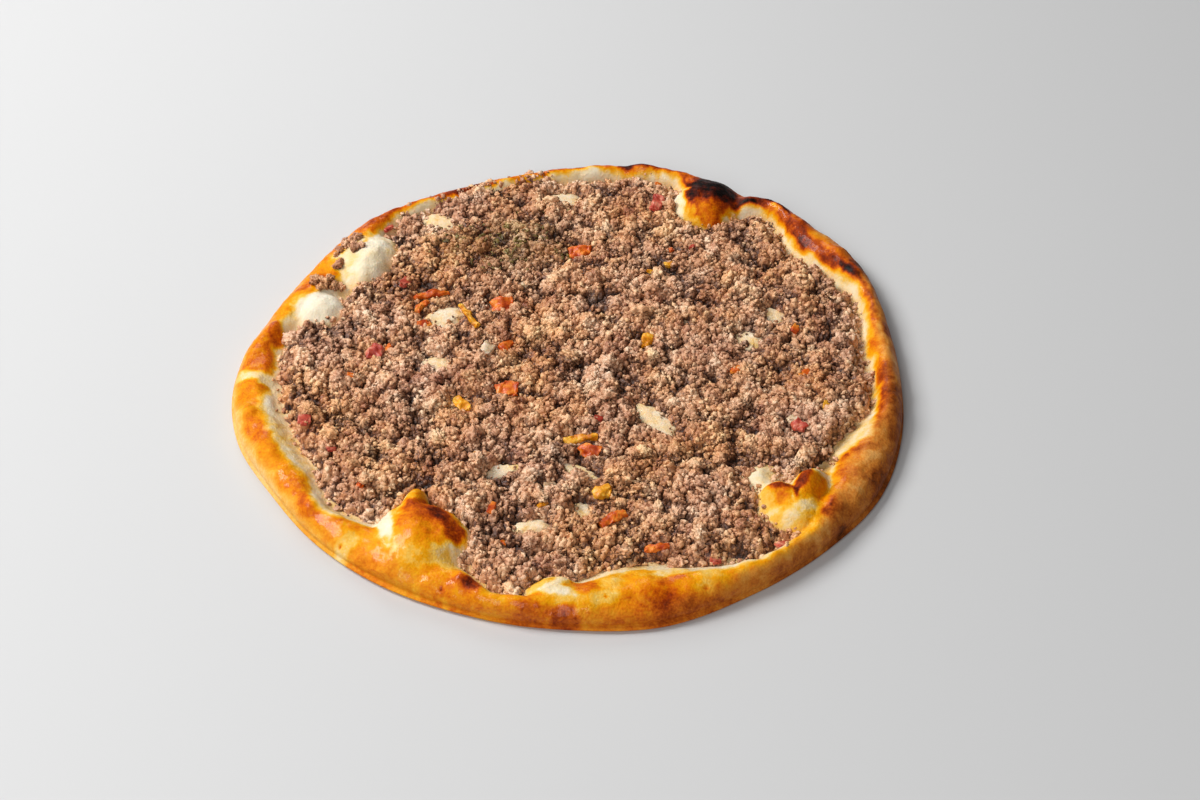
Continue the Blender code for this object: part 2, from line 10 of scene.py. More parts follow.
import bpy
import numpy as np
from mathutils import Euler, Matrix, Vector


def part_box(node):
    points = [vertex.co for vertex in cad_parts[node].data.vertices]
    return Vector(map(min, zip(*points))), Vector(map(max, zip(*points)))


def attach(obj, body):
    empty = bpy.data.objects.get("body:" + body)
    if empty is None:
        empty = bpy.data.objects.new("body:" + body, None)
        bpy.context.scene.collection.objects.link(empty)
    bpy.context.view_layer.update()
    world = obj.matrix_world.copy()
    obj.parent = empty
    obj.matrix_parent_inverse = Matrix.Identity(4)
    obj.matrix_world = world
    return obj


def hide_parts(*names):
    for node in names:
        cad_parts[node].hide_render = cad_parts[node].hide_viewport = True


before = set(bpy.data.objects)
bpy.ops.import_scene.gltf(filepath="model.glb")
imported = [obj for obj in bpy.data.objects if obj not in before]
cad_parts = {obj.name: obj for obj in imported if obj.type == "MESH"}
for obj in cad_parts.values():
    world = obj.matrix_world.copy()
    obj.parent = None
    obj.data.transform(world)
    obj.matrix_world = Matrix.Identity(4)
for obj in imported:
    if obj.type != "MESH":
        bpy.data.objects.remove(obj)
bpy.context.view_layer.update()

SEED = 23
MM = 1000

# The studio.
FOCAL_LENGTH_MM = 70
CAMERA_PLACE = (0.0129, -0.7387, 0.6672)
CAMERA_PITCH = 42.497
FLOOR_SIZE = 6
FLOOR_GREY = (200, 200, 200)
FLOOR_ROUGHNESS = 0.6
# The lights, which all face the pie: place, width and height, and power in watts.
LIGHTS = {
    "window": ((-1.2, 0.32, 1.32), (0.8, 0.8), 33),
    "back_window": ((-0.3, 1.1, 0.8), (0.7, 0.5), 4),
    "front_window": ((-0.5, -1.3, 1.1), (0.8, 0.8), 11.5),
}
WORLD_STRENGTH = 0.145

# The dough's outlines seen from above, as radii at equal steps of angle from +X.
EDGE_RADII = np.array((
    141.1, 143, 148.5, 148.2, 147.8, 146, 141.5, 136.8, 137.5, 140, 136.5, 137, 142.5, 142.5, 138.5,
    138.8, 139.3, 139.7, 141.8, 145.2, 143, 143, 144.6, 142.7,
)) / MM
MINCE_RADII = np.array((
    125.8, 125.6, 131, 128.5, 126.2, 135, 118, 134.5, 135, 131.5, 132, 131, 130, 125, 110, 109.6, 114,
    122.5, 120.5, 120, 118, 117, 121.5, 115, 106, 117, 129, 120.5, 112, 116.7, 126.5, 134.5, 124.6, 117.4,
    118, 125.5,
)) / MM
# How high the rim stands, as a share of its usual height, at steps of 15 degrees from +X.
RIM_RISES = (
    1.1, 1.15, 1.3, 1.35, 1.3, 1.2, 1.15, 1.1, 1.05, 0.95, 0.88, 0.85, 0.85, 0.95, 1, 1, 1, 1, 1.05, 1.1,
    1.1, 1.1, 1.1, 1.1,
)
FLOOR_TOP = 0.004
NOMINAL_EDGE = 0.141
NOMINAL_FOOT = 0.119
RIM_LEAST_WIDTH = 0.011
FOOT_CLEAR_OF_MINCE = 0.0015
# Half of the dough's section, from the middle of its top out to the lip and back under it: radius,
# height, and the number of rings of the mesh up to the next point.
SECTION = np.array((
    (0, 4, 12), (85, 4, 18), (101, 4, 11), (111, 4, 9), (119, 4.2, 4), (121.6, 5.8, 6), (125, 8.8, 6),
    (129, 10.6, 6), (133, 10.6, 6), (136.6, 9, 6), (139, 6.6, 4), (139.9, 4.4, 3), (139.7, 2.6, 3),
    (141, 1.4, 3), (139.5, 0, 8), (0, 0, 0),
)) / (MM, MM, 1)
# Where the section starts to rise, where it reaches the lip and where it has turned under.
FOOT_INDEX = 4
LIP_INDEX = 12
UNDER_INDEX = 14
DOUGH_SEGMENTS = 900
# How the rim and the skin go in and out, as layers of noise. In this and the other tables of layers,
# each has its depth, how many of its bumps fit in a metre, and a shift that sets it apart.
RIM_UNEVENNESS = ((0.0008, 45, 45), (0.0008, 75, 75), (0.0007, 140, 140))
SKIN_UNEVENNESS = ((0.00032, 260, 260), (0.00016, 600, 600))

# Blisters, as domes: middle, reach towards the pie's middle, away from it and sideways, the inward
# way in degrees, top, and roundness.
BLISTERS = np.array((
    (-56, -96, 15, 30, 21, 62, 17.8, 0.75), (-61, -84, 12, 12, 6.5, 80, 15.8, 0.8),
    (90, -82.5, 16, 20, 15, 135, 14.2, 0.9), (84, -77, 9.5, 13, 9.5, 120, 15.5, 0.95),
    (97, -72, 14, 15, 8.8, 62, 17, 0.95), (78, -65.5, 10, 14, 12.5, 135, 9.6, 1),
    (61, 113, 18, 20, 16.5, 242, 16.8, 0.7), (-89, 73, 11, 18, 20, -22, 14.2, 0.75),
    (-109, 40, 12, 16, 12, -20, 12.2, 0.8), (-5, -127, 9, 12, 13, 90, 12.2, 0.9),
)) / (MM, MM, MM, MM, MM, 1, MM, 1)
BLISTER_FILLET = 0.0032
# How far a blister's skin goes in and out, and how closely.
BLISTER_UNEVENNESS = ((0.0013, 70, 70), (0.0008, 160, 160), (0.0003, 420, 420))
# Creases that cross the rim: angle in degrees, half width in degrees, share of the height that is lost.
CREASES = ((183.5, 3, 0.3), (56.5, 2.2, 0.4), (236, 3, 0.16), (120, 7, 0.18))
# Small swellings of the rim: how many, how far inside its edge, their reach and their rise.
RIM_LUMPS = 30
RIM_LUMP_INSET = (0.005, 0.014)
RIM_LUMP_REACH = (0.004, 0.0095)
RIM_LUMP_RISE = (0.0006, 0.0017)
# Bubbles of the dough's floor that show through the mince: place, radii, turn in degrees, top.
FLOOR_BUBBLES = np.array((
    (-55, 36, 9, 7, 20, 8), (-57, 5, 7.5, 5.5, -25, 7.4), (-27, -60, 9, 4.2, 20, 7.6),
    (5, -61, 9.5, 4.2, -25, 7.6), (36, -30, 13, 5.5, -52, 7.8), (77, 21, 6, 6.8, 0, 7.6),
    (89, 37, 4.6, 7.4, 12, 7.2), (-14, -92, 8.2, 4.8, 0, 7.8), (5.5, -83, 4.6, 5.8, 0, 7.2),
    (-3, 119, 9, 6, -8, 8), (-60, 103, 8.8, 6.2, -20, 7.6),
)) / (MM, MM, MM, MM, 1, MM)

# The width of the pale band beside the mince, and how far the rim is baked on its crest and at the
# foot of its outer wall, at steps of 15 degrees from +X: 0 is raw white, 0.25 straw, 0.4 yellow,
# 0.5 gold, 0.6 orange, 0.75 red-brown and 1 black.
PALE_WIDTHS = np.array((
    3, 4, 3.6, 4.2, 4, 3.6, 4, 3, 3, 6, 8, 6, 4, 8.5, 7, 5.5, 5, 4, 3.4, 7, 6, 5, 6, 5,
)) / MM
CREST_BAKE = (
    0.6, 0.62, 0.69, 0.74, 0.73, 0.7, 0.7, 0.68, 0.62, 0.54, 0.51, 0.53, 0.54, 0.53, 0.51, 0.48, 0.47,
    0.46, 0.47, 0.49, 0.52, 0.56, 0.58, 0.59,
)
WALL_BAKE = (
    0.68, 0.69, 0.7, 0.7, 0.72, 0.76, 0.78, 0.74, 0.62, 0.52, 0.46, 0.4, 0.36, 0.26, 0.26, 0.4, 0.52,
    0.53, 0.53, 0.55, 0.6, 0.67, 0.7, 0.69,
)
# A dark line beside the pale band, at the same steps.
SCORCH = (
    0.06, 0.12, 0.22, 0.24, 0.22, 0.12, 0.1, 0.12, 0.12, 0.05, 0, 0, 0.04, 0, 0, 0.04, 0.06, 0.06, 0.04,
    0, 0, 0, 0.04, 0.06,
)
SCORCH_MIDDLE = 0.0022
SCORCH_WIDTH = 0.0017
# How dull and tan the crust is where the egg wash did not reach, where on the section that starts,
# and how uneven the baking is, at the same steps.
DULLNESS = (
    0.75, 0.65, 0.6, 0.55, 0.4, 0.3, 0.3, 0.3, 0.3, 0.3, 0.25, 0.3, 0.4, 0.5, 0.45, 0.25, 0.12, 0.12,
    0.15, 0.3, 0.6, 0.8, 0.8, 0.8,
)
DULL_STARTS = (6, 6.2, 7, 7.6, 8.2, *(15 * (8.4,)), 7.8, 6.8, 6, 6)
UNEVENNESS_OF_BAKE = (
    1.3, 1.3, 1.3, 1.4, 1.5, 1.6, 1.6, 1.4, 1, 0.8, 0.7, 0.6, 0.5, 0.5, 0.6, 0.8, 1, 1.2, 1.3, 1.3, 1.2,
    1.2, 1.2, 1.2,
)
# Layers of noise: how the crust's inner edge wanders, how the pale band and the crust are mottled, how
# the edges of the spots wander, where the egg wash shines, and how the floor's bubbles are soaked.
CRUST_EDGE = ((0.0036, 40, 2), (0.0018, 120, 6), (0.0012, 340, 9))
PALE_BAKE = 0.12
PALE_MOTTLE = ((0.1, 60, 5), (0.05, 300, 5))
CRUST_MOTTLE = ((0.22, 42, 1), (0.14, 100, 4), (0.07, 320, 4))
SPOT_EDGE = ((0.34, 170, 7), (0.2, 420, 3))
WASH_BLOTCHES = ((1, 70, 13), (0.4, 240, 13))
BUBBLE_BAKE = 0.11
BUBBLE_MOTTLE = ((0.1, 120, 9), (0.08, 400, 9))
# The pinholes are darkened: painted shade in each hole.
PINHOLE_SHADE = 0.85
UNDERSIDE_BAKE = 0.44
# Spots of their own bake: place, radii, turn in degrees, bake, and how far it takes over.
TOAST_SPOTS = np.array((
    (-55, -96, 16, 12.5, -30, 0.55, 1), (-56, -120, 14, 6, 0, 0.46, 0.8),
    (-46.5, -113, 8.5, 6, 0, 0.17, 0.9), (-47, -134.5, 2.5, 4.5, 0, 0.08, 0.9),
    (-56, -90, 12, 6.5, -38, 0.68, 0.9), (-49, -95, 9.5, 3.6, -50, 0.82, 1),
    (-43, -101, 4.5, 6, -10, 0.8, 0.9), (-37, -113, 6, 12, 0, 0.2, 0.9), (-60, -113, 8, 5, 0, 0.32, 0.8),
    (-61, -77, 5, 4, 0, 0.4, 0.9), (-71.5, -96, 3.8, 14, 17, 0.06, 1), (-88, -104, 8, 4, 40, 0.18, 0.8),
    (-37, -126, 5, 3.5, -20, 0.8, 0.9), (-5, -129.5, 9, 3.6, -15, 0.12, 0.9),
    (-10, -125.5, 6, 3, 20, 0.34, 0.7), (7.5, -127.5, 6, 4.5, -30, 0.66, 0.9),
    (-14, -138.5, 7, 3.5, 0, 0.62, 0.8), (15, -133, 5.6, 3.4, 0, 0.26, 0.7),
    (40, -120, 13, 2.6, 8, 0.14, 0.8), (53, -128, 5, 3.4, 10, 0.32, 0.6), (83.5, -80, 8, 6, 10, 0.58, 1),
    (83, -76.2, 8.5, 2.4, 0, 0.8, 1), (97, -78, 8, 9, 0, 0.5, 1), (94, -73.5, 9, 2.6, 60, 0.82, 1),
    (102, -61, 4.8, 5, 0, 0.38, 1), (91, -79, 1.6, 7, 0, 0.8, 1), (118, -40, 11, 8, 60, 0.1, 0.9),
    (123, -48, 5, 3.5, 0, 0.66, 0.8), (58, 100, 13, 5, 10, 0.24, 0.9), (63, 108.5, 13, 7.5, 8, 0.74, 1),
    (60, 102, 3, 6, 10, 0.62, 0.9), (66, 102, 3, 7, -10, 0.7, 0.9), (66, 120, 13, 12.5, 0, 0.98, 1),
    (56, 114, 6, 5, 0, 0.92, 0.9), (47.5, 113, 4.5, 11, 10, 0.08, 0.9), (84, 123, 7, 3, -50, 0.96, 0.9),
    (86, 113, 11, 2.6, -50, 0.84, 0.9), (100, 94, 13, 2.8, -58, 0.78, 0.9),
    (113, 74, 12, 2.4, -58, 0.78, 0.9), (-127, 22, 3.4, 7, 10, 0.74, 0.8),
    (-90, 100, 12, 4, 42, 0.7, 0.8), (-115, 56, 8, 3, 40, 0.68, 0.7), (-128, -7, 15, 4, -18, 0.1, 0.9),
    (121, -51, 5, 3, 0, 0.72, 0.8), (111, -95, 8, 4, 40, 0.86, 0.8), (0, -140, 6, 4, 0, 0.72, 0.9),
    (90, -90, 13, 7, 35, 0.36, 0.9), (86, -93.5, 11, 3.6, 40, 0.18, 0.85), (78, -80, 4, 9, 30, 0.16, 0.8),
    (94.5, -86.5, 5.4, 3, 20, 0.13, 0.9), (96, -96.5, 9, 6, 30, 0.34, 0.8),
    (144, 17, 2.4, 3.4, 0, 0.97, 0.9), (-92, 72, 13, 16, -22, 0.02, 0.8),
    (-109, 39, 12, 12, -20, 0.02, 0.8), (133, -6, 4, 6, 0, 0.78, 0.8), (137, 24, 3, 6, 0, 0.84, 0.8),
)) / (MM, MM, MM, MM, 1, 1, 1)
# Pinholes in the crust.
PINHOLES = np.array(((15.2, -133.2), (53.5, -128.2), (-89, -103), (44, 113), (-48, -127))) / MM
PINHOLE_RADIUS = 0.0007

# The mince: its bed, a surface of clumps, lumps, granules and fine grains, and the loose pieces on it.
# Each size of form is given by how many fit in a metre, and its height.
BED_HALF = 0.14
BED_GRID = 0.0004
BED_SINK = 0.0008
BED_BODY = 0.0012
BED_UNDERSIDE = 0.0028
CLUMPS = (86, 0.0046)
LUMPS = (190, 0.0026)
GRANULES = (480, 0.0013)
FINE_GRAINS = (950, 0.0006)
# Layers of noise that bend the forms out of their regular shapes, in x and in y.
BENDS = (((0.0036, 100, 31), (0.0011, 300, 31)), ((0.0036, 100, 37), (0.0011, 300, 37)))
GRANULE_BENDS = (((0.0008, 420, 41),), ((0.0008, 420, 47),))
# Layers of noise: how the layer swells, how its edge wanders, how fat it is and how tan.
BED_SWELL = ((0.0018, 32, 8), (0.0014, 78, 0))
MINCE_EDGE = ((0.0038, 85, 2), (0.0028, 230, 6))
MIDDLE_TONE = 0.51
TONES = ((0.36, 60, 3), (0.34, 170, 3), (0.2, 420, 0))
MIDDLE_WARMTH = 0.55
WARMTHS = ((0.9, 26, 14), (0.5, 110, 15))
# How far inside its edge the layer reaches its full thickness, and how far outside it starts.
EDGE_SLOPE = (-0.0016, 0.0062)
# How much thinner the layer is where it lies on the rim's slope.
THINNING = 0.75
# How far the dough is stained by the mince, outwards from its edge.
STAIN_REACH = 0.0045
SHAPES_OF_A_KIND = 10
STRAY_CRUMBS = {
    "stray_mince_back": (
        (-101, 80, 2.7), (-98.5, 83.5, 2.2), (-103.5, 77, 2.1), (-96, 86, 2), (-101.5, 85, 1.9),
        (-97, 79, 1.8), (-96.5, 75.5, 2.1), (-93.5, 76.5, 1.7), (-105, 74, 1.5),
    ),
    "stray_mince_left": (
        (-108.5, 55, 2.4), (-112.5, 56, 2.6), (-104.5, 54.5, 2.2), (-101.5, 55.5, 1.8), (-106.5, 58, 2),
        (-110, 52.5, 1.8), (-103.5, 66.5, 2), (-102.5, 69, 1.5),
    ),
}
# The kinds of the model's bits, which their names start with, and the yellow ones among the peppers.
BIT_KINDS = ("pepper", "tomato", "onion")
YELLOW_BITS = ("pepper_yellow_flake", "pepper_strip_upright", "pepper_yellow_dice", "pepper_front_strip",
               "pepper_golden_dice")
# Smaller flecks on the mince, by kind: place, length, width and turn in degrees.
FLECKS = {
    "pepper": (
        (-78, 13, 5, 4, 30), (-25, -102, 7.5, 3.2, 80), (-92, -10, 6, 4.2, 80), (-83, -72, 5, 3.6, 70),
        (99, -6, 6.2, 5, 20), (70, -3, 6, 4.6, 0), (40, 131, 8, 3.4, 80), (-63, 27, 6.8, 4.4, 10),
        (-30, -86, 6, 3.2, 70), (44, 79, 4, 3.2, 40), (97, 23, 5.6, 4, 60),
    ),
    "yellow_pepper": (
        (44, 70, 5.6, 3.6, 10), (37, 63, 8, 1.6, -10), (-38, -54, 5, 4, 50), (107, -24, 5.8, 3, 80),
        (-10, -83, 5, 3, 20),
    ),
    "tomato": (
        (-42, -27, 5, 3, -40), (-109, -35, 6, 5.4, 0), (-97, -51, 5.2, 4.8, 20), (58, -110, 5, 3.4, 10),
        (85, -104, 7, 6, 40), (12, -33, 4.4, 3.6, 0), (-73, 55, 7.8, 4.6, 60), (-84, 97, 5.8, 4.6, 70),
        (54, 81, 3.4, 3, 0), (3, 76, 6, 4, 0),
    ),
    "onion": (
        (-7, -72, 6, 4.4, 30), (93, -32, 5.6, 4, 20), (-20, 56, 5, 3.4, 60), (50, 30, 5, 3.6, -30),
    ),
}
FLECK_THICKNESS = 0.0016
BIT_UNEVENNESS = 0.0011
HERB_MIDDLE = (-0.03, 0.082)
HERB_SPREAD = (0.03, 0.017)
HERB_COUNT = 110
# The loose pieces, by kind: spacing, least and greatest radius, how finely a ball is divided, its
# stretch, how close and how rough its knobs are, how far it sinks in, and how far it may lean.
CRUMB_KINDS = {
    "mince_lumps": (0.018, (0.0022, 0.0034), 4, (1.25, 1, 0.8), 2.4, 0.7, 0.6, 0.9),
    "mince_crumbs": (0.0042, (0.0009, 0.0015), 2, (1.3, 1, 0.8), 1.5, 0.6, 0.5, 1.5),
    "mince_granules": (0.0042, (0.0006, 0.0011), 2, (1.2, 1, 0.85), 1.3, 0.5, 0.4, 1.5),
    "mince_threads": (0.012, (0.0007, 0.001), 2, (1.9, 1, 0.9), 1.3, 0.5, 0.35, 0.5),
    "mince_grains": (0.0025, (0.0004, 0.0008), 1, (1.2, 1, 0.85), 1.2, 0.4, 0.3, 1.5),
}
CRUMB_SPILL = 0.0022
HIGHEST_BLISTER_UNDER_CRUMBS = 0.0048

# Colours as ramps, each stop with its place and its eight-bit values: the washed crust and the bare
# one from raw to black, the mince from brown to fat, and the vegetables from dark to light.
WASHED_CRUST = (
    (0, 234, 226, 206), (0.1, 232, 210, 168), (0.22, 232, 184, 82), (0.36, 230, 156, 14),
    (0.5, 222, 130, 2), (0.62, 200, 94, 3), (0.74, 150, 56, 5), (0.86, 84, 28, 7), (1, 18, 10, 7),
)
BARE_CRUST = (
    (0, 236, 214, 186), (0.3, 222, 168, 104), (0.55, 196, 124, 54), (0.75, 150, 80, 28), (0.95, 56, 24, 10),
)
MINCE_COLOURS = ((0.05, 154, 96, 72), (0.4, 202, 149, 116), (0.7, 230, 184, 151), (1, 248, 220, 194))
MINCE_TAN = (255, 238, 200)
HERB_GREEN = (200, 190, 150)
BIT_COLOURS = {
    "pepper": ((0.35, 160, 54, 14), (0.5, 210, 96, 24), (0.65, 232, 142, 52)),
    "yellow_pepper": ((0.35, 190, 104, 8), (0.5, 222, 146, 20), (0.65, 236, 180, 66)),
    "tomato": ((0.35, 146, 44, 34), (0.5, 188, 78, 60), (0.65, 214, 136, 110)),
    "onion": ((0.35, 180, 146, 112), (0.5, 208, 180, 146), (0.65, 226, 204, 176)),
}
HERB_COLOURS = ((0.35, 80, 66, 34), (0.5, 118, 100, 52), (0.65, 150, 128, 78))
# Painted shade on the mince: how dark it is in its crevices and low places, in linear light.
MINCE_PAINTED_SHADES = ((0.22, 0.035, 0.02, 0.014), (0.45, 0.22, 0.155, 0.125), (0.66, 0.9, 0.86, 0.83),
                (0.8, 1, 1, 1))


def tint(red, green, blue):
    """A colour given in the eight-bit values of a screen, as linear light."""
    return tuple((value / 255) ** 2.2 for value in (red, green, blue)) + (1,)


def smoothstep(low, high, value):
    share = np.clip((value - low) / (high - low), 0, 1)
    return share * share * (3 - 2 * share)


def smooth_curve(before, start, end, after, t):
    """One step of a smooth curve through four points, from the second to the third."""
    return 0.5 * (2 * start + (end - before) * t + (2 * before - 5 * start + 4 * end - after) * t ** 2
                  + (3 * start - before - 3 * end + after) * t ** 3)


def round_curve(values, angle):
    """A smooth closed curve through values at equal steps of angle."""
    table = np.asarray(values)
    places = (angle % math.tau) / math.tau * len(values)
    index = np.floor(places).astype(int)
    points = (table[(index + step) % len(table)] for step in (-1, 0, 1, 2))
    return smooth_curve(*points, places - index)


def turned(x, y, turn):
    """Places as seen from axes that are turned by some degrees."""
    c, s = math.cos(math.radians(turn)), math.sin(math.radians(turn))
    return x * c + y * s, y * c - x * s


def ellipse_distance(x, y, centre_x, centre_y, radius_x, radius_y, turn):
    """Zero at an ellipse's middle and one on its edge."""
    along, across = turned(x - centre_x, y - centre_y, turn)
    return np.hypot(along / radius_x, across / radius_y)


def hashed(i, j, k, salt):
    """A number from 0 to 1 for each cell of a lattice, the same each time."""
    mixed = (i * 374761393 + j * 668265263 + k * 1274126177 + salt * 974634777) & 0xFFFFFFFF
    mixed = ((mixed ^ (mixed >> 13)) * 1103515245) & 0xFFFFFFFF
    mixed = ((mixed ^ (mixed >> 16)) * 2246822519) & 0xFFFFFFFF
    return (mixed ^ (mixed >> 15)) / 0xFFFFFFFF


def noise_at(x, y, scale, shift=0, z=0):
    """Smooth noise from about -1 to 1: slopes at a lattice's corners, blended between them."""
    place = np.broadcast_arrays(x * scale + shift, y * scale - shift, z * scale + shift)
    cell = [np.floor(axis).astype(np.int64) for axis in place]
    inside = [axis - low for axis, low in zip(place, cell)]
    fade = [t * t * t * (t * (t * 6 - 15) + 10) for t in inside]
    total = np.zeros(place[0].shape)
    for corner in itertools.product((0, 1), repeat=3):
        at = [low + step for low, step in zip(cell, corner)]
        share, slope = 1, 0
        for axis, step in enumerate(corner):
            share = share * (fade[axis] if step else 1 - fade[axis])
            slope = slope + (2 * hashed(*at, axis) - 1) * (inside[axis] - step)
        total += share * slope
    return 1.5 * total


def rounded_cells(x, y, z, per_metre, salt):
    """Rounded cells with creases between them, as in a cauliflower: 1 on a cell's top and 0 in a crease."""
    place = np.broadcast_arrays(x * per_metre, y * per_metre, z * per_metre)
    cell = [np.floor(axis).astype(np.int64) for axis in place]
    nearest, second = np.full(place[0].shape, 9.0), np.full(place[0].shape, 9.0)
    for step in itertools.product((-1, 0, 1), repeat=3):
        at = [low + part for low, part in zip(cell, step)]
        middle = [low + hashed(*at, salt + axis) for axis, low in enumerate(at)]
        away = sum((there - here) ** 2 for there, here in zip(middle, place))
        second = np.minimum(second, np.maximum(nearest, away))
        nearest = np.minimum(nearest, away)
    crease = np.clip((np.sqrt(second) - np.sqrt(nearest)) * 3.5, 0, 1)
    return (0.35 + 0.65 * crease * (2 - crease)) * np.sqrt(np.clip(1 - nearest, 0, 1))


def edge_radius(angle):
    return round_curve(EDGE_RADII, angle)


def foot_radius(angle):
    """Where the rim starts to rise, just outside the mince."""
    beside_mince = round_curve(MINCE_RADII, angle) + FOOT_CLEAR_OF_MINCE
    return np.minimum(beside_mince, edge_radius(angle) - RIM_LEAST_WIDTH)


def rim_factor(angle):
    """How high the rim stands at an angle, as a share of its usual height."""
    kept = round_curve(RIM_RISES, angle)
    for at, width, loss in CREASES:
        away = (np.degrees(angle) - at + 180) % 360 - 180
        kept = kept * (1 - loss * np.exp(-((away / width) ** 2)))
    return kept


def blister_dome(x, y, centre_x, centre_y, inward, outward, sideways, turn, top, roundness):
    """The height of one blister's dome, which falls below the floor outside it."""
    along, across = turned(x - centre_x, y - centre_y, turn)
    d = np.hypot(along / np.where(along > 0, inward, outward), across / sideways)
    inside = np.clip(1 - d * d, 0, 1) ** roundness
    return FLOOR_TOP + (top - FLOOR_TOP) * np.where(d < 1, inside, 2 * (1 - d))


def with_blisters(x, y, height):
    """The dough's height with the blisters risen out of it, with a soft valley round each."""
    for blister in BLISTERS:
        above = blister_dome(x, y, *blister) - height
        share = np.clip(0.5 + 0.5 * above / BLISTER_FILLET, 0, 1)
        height = height + above * share + BLISTER_FILLET * share * (1 - share)
    return height


def blister_height(x, y):
    """How far the tallest blister stands above the floor."""
    return np.max([blister_dome(x, y, *blister) for blister in BLISTERS], axis=0) - FLOOR_TOP


def rim_lumps():
    """Small swellings along the rim, the same each time: place, reach and rise."""
    draw = np.random.default_rng(SEED)
    for number in range(RIM_LUMPS):
        angle = (number + draw.uniform(-0.4, 0.4)) * math.tau / RIM_LUMPS
        radius = float(edge_radius(np.array(angle))) - draw.uniform(*RIM_LUMP_INSET)
        reach, rise = draw.uniform(*RIM_LUMP_REACH), draw.uniform(*RIM_LUMP_RISE)
        yield radius * math.cos(angle), radius * math.sin(angle), reach, rise


def lump_rise(x, y):
    rise = np.zeros_like(x)
    for centre_x, centre_y, reach, height in rim_lumps():
        d = np.minimum(np.hypot(x - centre_x, y - centre_y) / reach, 1)
        rise = np.maximum(rise, height * (1 - d * d) ** 1.5)
    return rise


def pinhole_share(x, y):
    """One in the middle of a pinhole, falling to nothing round it."""
    near = [np.hypot(x - hole_x, y - hole_y) / PINHOLE_RADIUS for hole_x, hole_y in PINHOLES]
    return np.exp(-np.min(near, axis=0) ** 2)


def unevenness(x, y, layers, z=0):
    return sum(depth * noise_at(x, y, scale, shift, z) for depth, scale, shift in layers)


def deselect_all():
    for obj in bpy.context.selected_objects:
        obj.select_set(False)


def take_up(obj):
    """Makes one object the only one selected, and the active one."""
    deselect_all()
    obj.select_set(True)
    bpy.context.view_layer.objects.active = obj


def vertices_of(obj):
    places = np.empty(len(obj.data.vertices) * 3)
    obj.data.vertices.foreach_get("co", places)
    return places.reshape(-1, 3)


def move_vertices(obj, places):
    obj.data.vertices.foreach_set("co", places.ravel())
    obj.data.update()


def keep_values(obj, name, values):
    """Stores a value for each vertex, for the material to read."""
    attribute = obj.data.attributes.new(name, "FLOAT", "POINT")
    attribute.data.foreach_set("value", np.clip(values, 0, 1).astype(np.float32))


def finish_piece(obj, name, material, slot, *nodes):
    obj.name = name
    obj.data.name = name
    obj.data.materials.clear()
    obj.data.materials.append(material)
    take_up(obj)
    bpy.ops.object.shade_smooth()
    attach(obj, "root")
    if nodes:
        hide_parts(*nodes)
    return obj


def section_line():
    """The rings of the dough's half section: how far out and how high each is, and how far along it."""
    rings = []
    points = SECTION[:, :2]
    last = len(points) - 1
    for index, steps in enumerate(SECTION[:-1, 2]):
        start, end = points[index], points[index + 1]
        before = points[index - 1] if index > FOOT_INDEX else start
        after = points[index + 2] if index + 2 < last else end
        curved = FOOT_INDEX <= index < UNDER_INDEX
        for t in np.arange(steps) / steps:
            place = smooth_curve(before, start, end, after, t) if curved else start + (end - start) * t
            rings.append((place[0], max(place[1], 0), index + t))
    rings.append((0, 0, float(last)))
    return np.array(rings).T


def make_dough(material):
    """A ball of dough pressed flat: each ring of the ball goes to its place on the dough's section."""
    radii, heights, along = section_line()
    deselect_all()
    bpy.ops.mesh.primitive_uv_sphere_add(segments=DOUGH_SEGMENTS, ring_count=len(radii) - 1, radius=1)
    dough = bpy.context.object
    ball = vertices_of(dough)
    ring = np.rint(np.arccos(np.clip(ball[:, 2], -1.0, 1.0)) / math.pi * (len(radii) - 1)).astype(int)
    angle = np.arctan2(ball[:, 1], ball[:, 0])
    nominal, height, line = radii[ring], heights[ring], along[ring]
    edge, foot = edge_radius(angle), foot_radius(angle)
    radius = np.where(nominal <= NOMINAL_FOOT, nominal * foot / NOMINAL_FOOT,
                      foot + (nominal - NOMINAL_FOOT) * (edge - foot) / (NOMINAL_EDGE - NOMINAL_FOOT))
    x, y = radius * np.cos(angle), radius * np.sin(angle)
    on_rim = smoothstep(FLOOR_TOP, 0.008, height)
    z = np.where(height > FLOOR_TOP, FLOOR_TOP + (height - FLOOR_TOP) * rim_factor(angle), height)
    z += on_rim * (unevenness(x, y, RIM_UNEVENNESS) + lump_rise(x, y))
    upper = (line < LIP_INDEX) & (height >= FLOOR_TOP - 0.0001)
    risen = with_blisters(x, y, z)
    risen += smoothstep(0.0005, 0.004, risen - z) * unevenness(x, y, BLISTER_UNEVENNESS)
    z = np.where(upper, risen, z)
    skin = unevenness(x, y, SKIN_UNEVENNESS, z) * smoothstep(2, 3, line) - 0.0008 * pinhole_share(x, y)
    z += np.where(upper, skin, 0)
    move_vertices(dough, np.stack([x, y, z], axis=1))
    uneven_line = line + 0.8 * noise_at(x, y, 120, 8)
    stain = smoothstep(-STAIN_REACH, 0, inside_mince(x, y)) * (1 + 0.8 * noise_at(x, y, 220, 17))
    stain *= 1 - smoothstep(0.002, 0.0045, z - FLOOR_TOP)
    bake = bake_of(x, y, z, angle, line, radius - foot, smoothstep(8.4, 10.4, uneven_line))
    bake += (0.2 - bake) * 0.7 * np.clip(stain, 0, 1)
    starts = round_curve(DULL_STARTS, angle)
    dull = round_curve(DULLNESS, angle) * smoothstep(0, 2, uneven_line - starts)
    keep_values(dough, "bake", bake)
    keep_values(dough, "gloss", gloss_of(x, y, z, line, bake, dull))
    keep_values(dough, "dull", np.maximum(dull, 0.6 * stain))
    return finish_piece(dough, "dough", material, "bread", "bread")


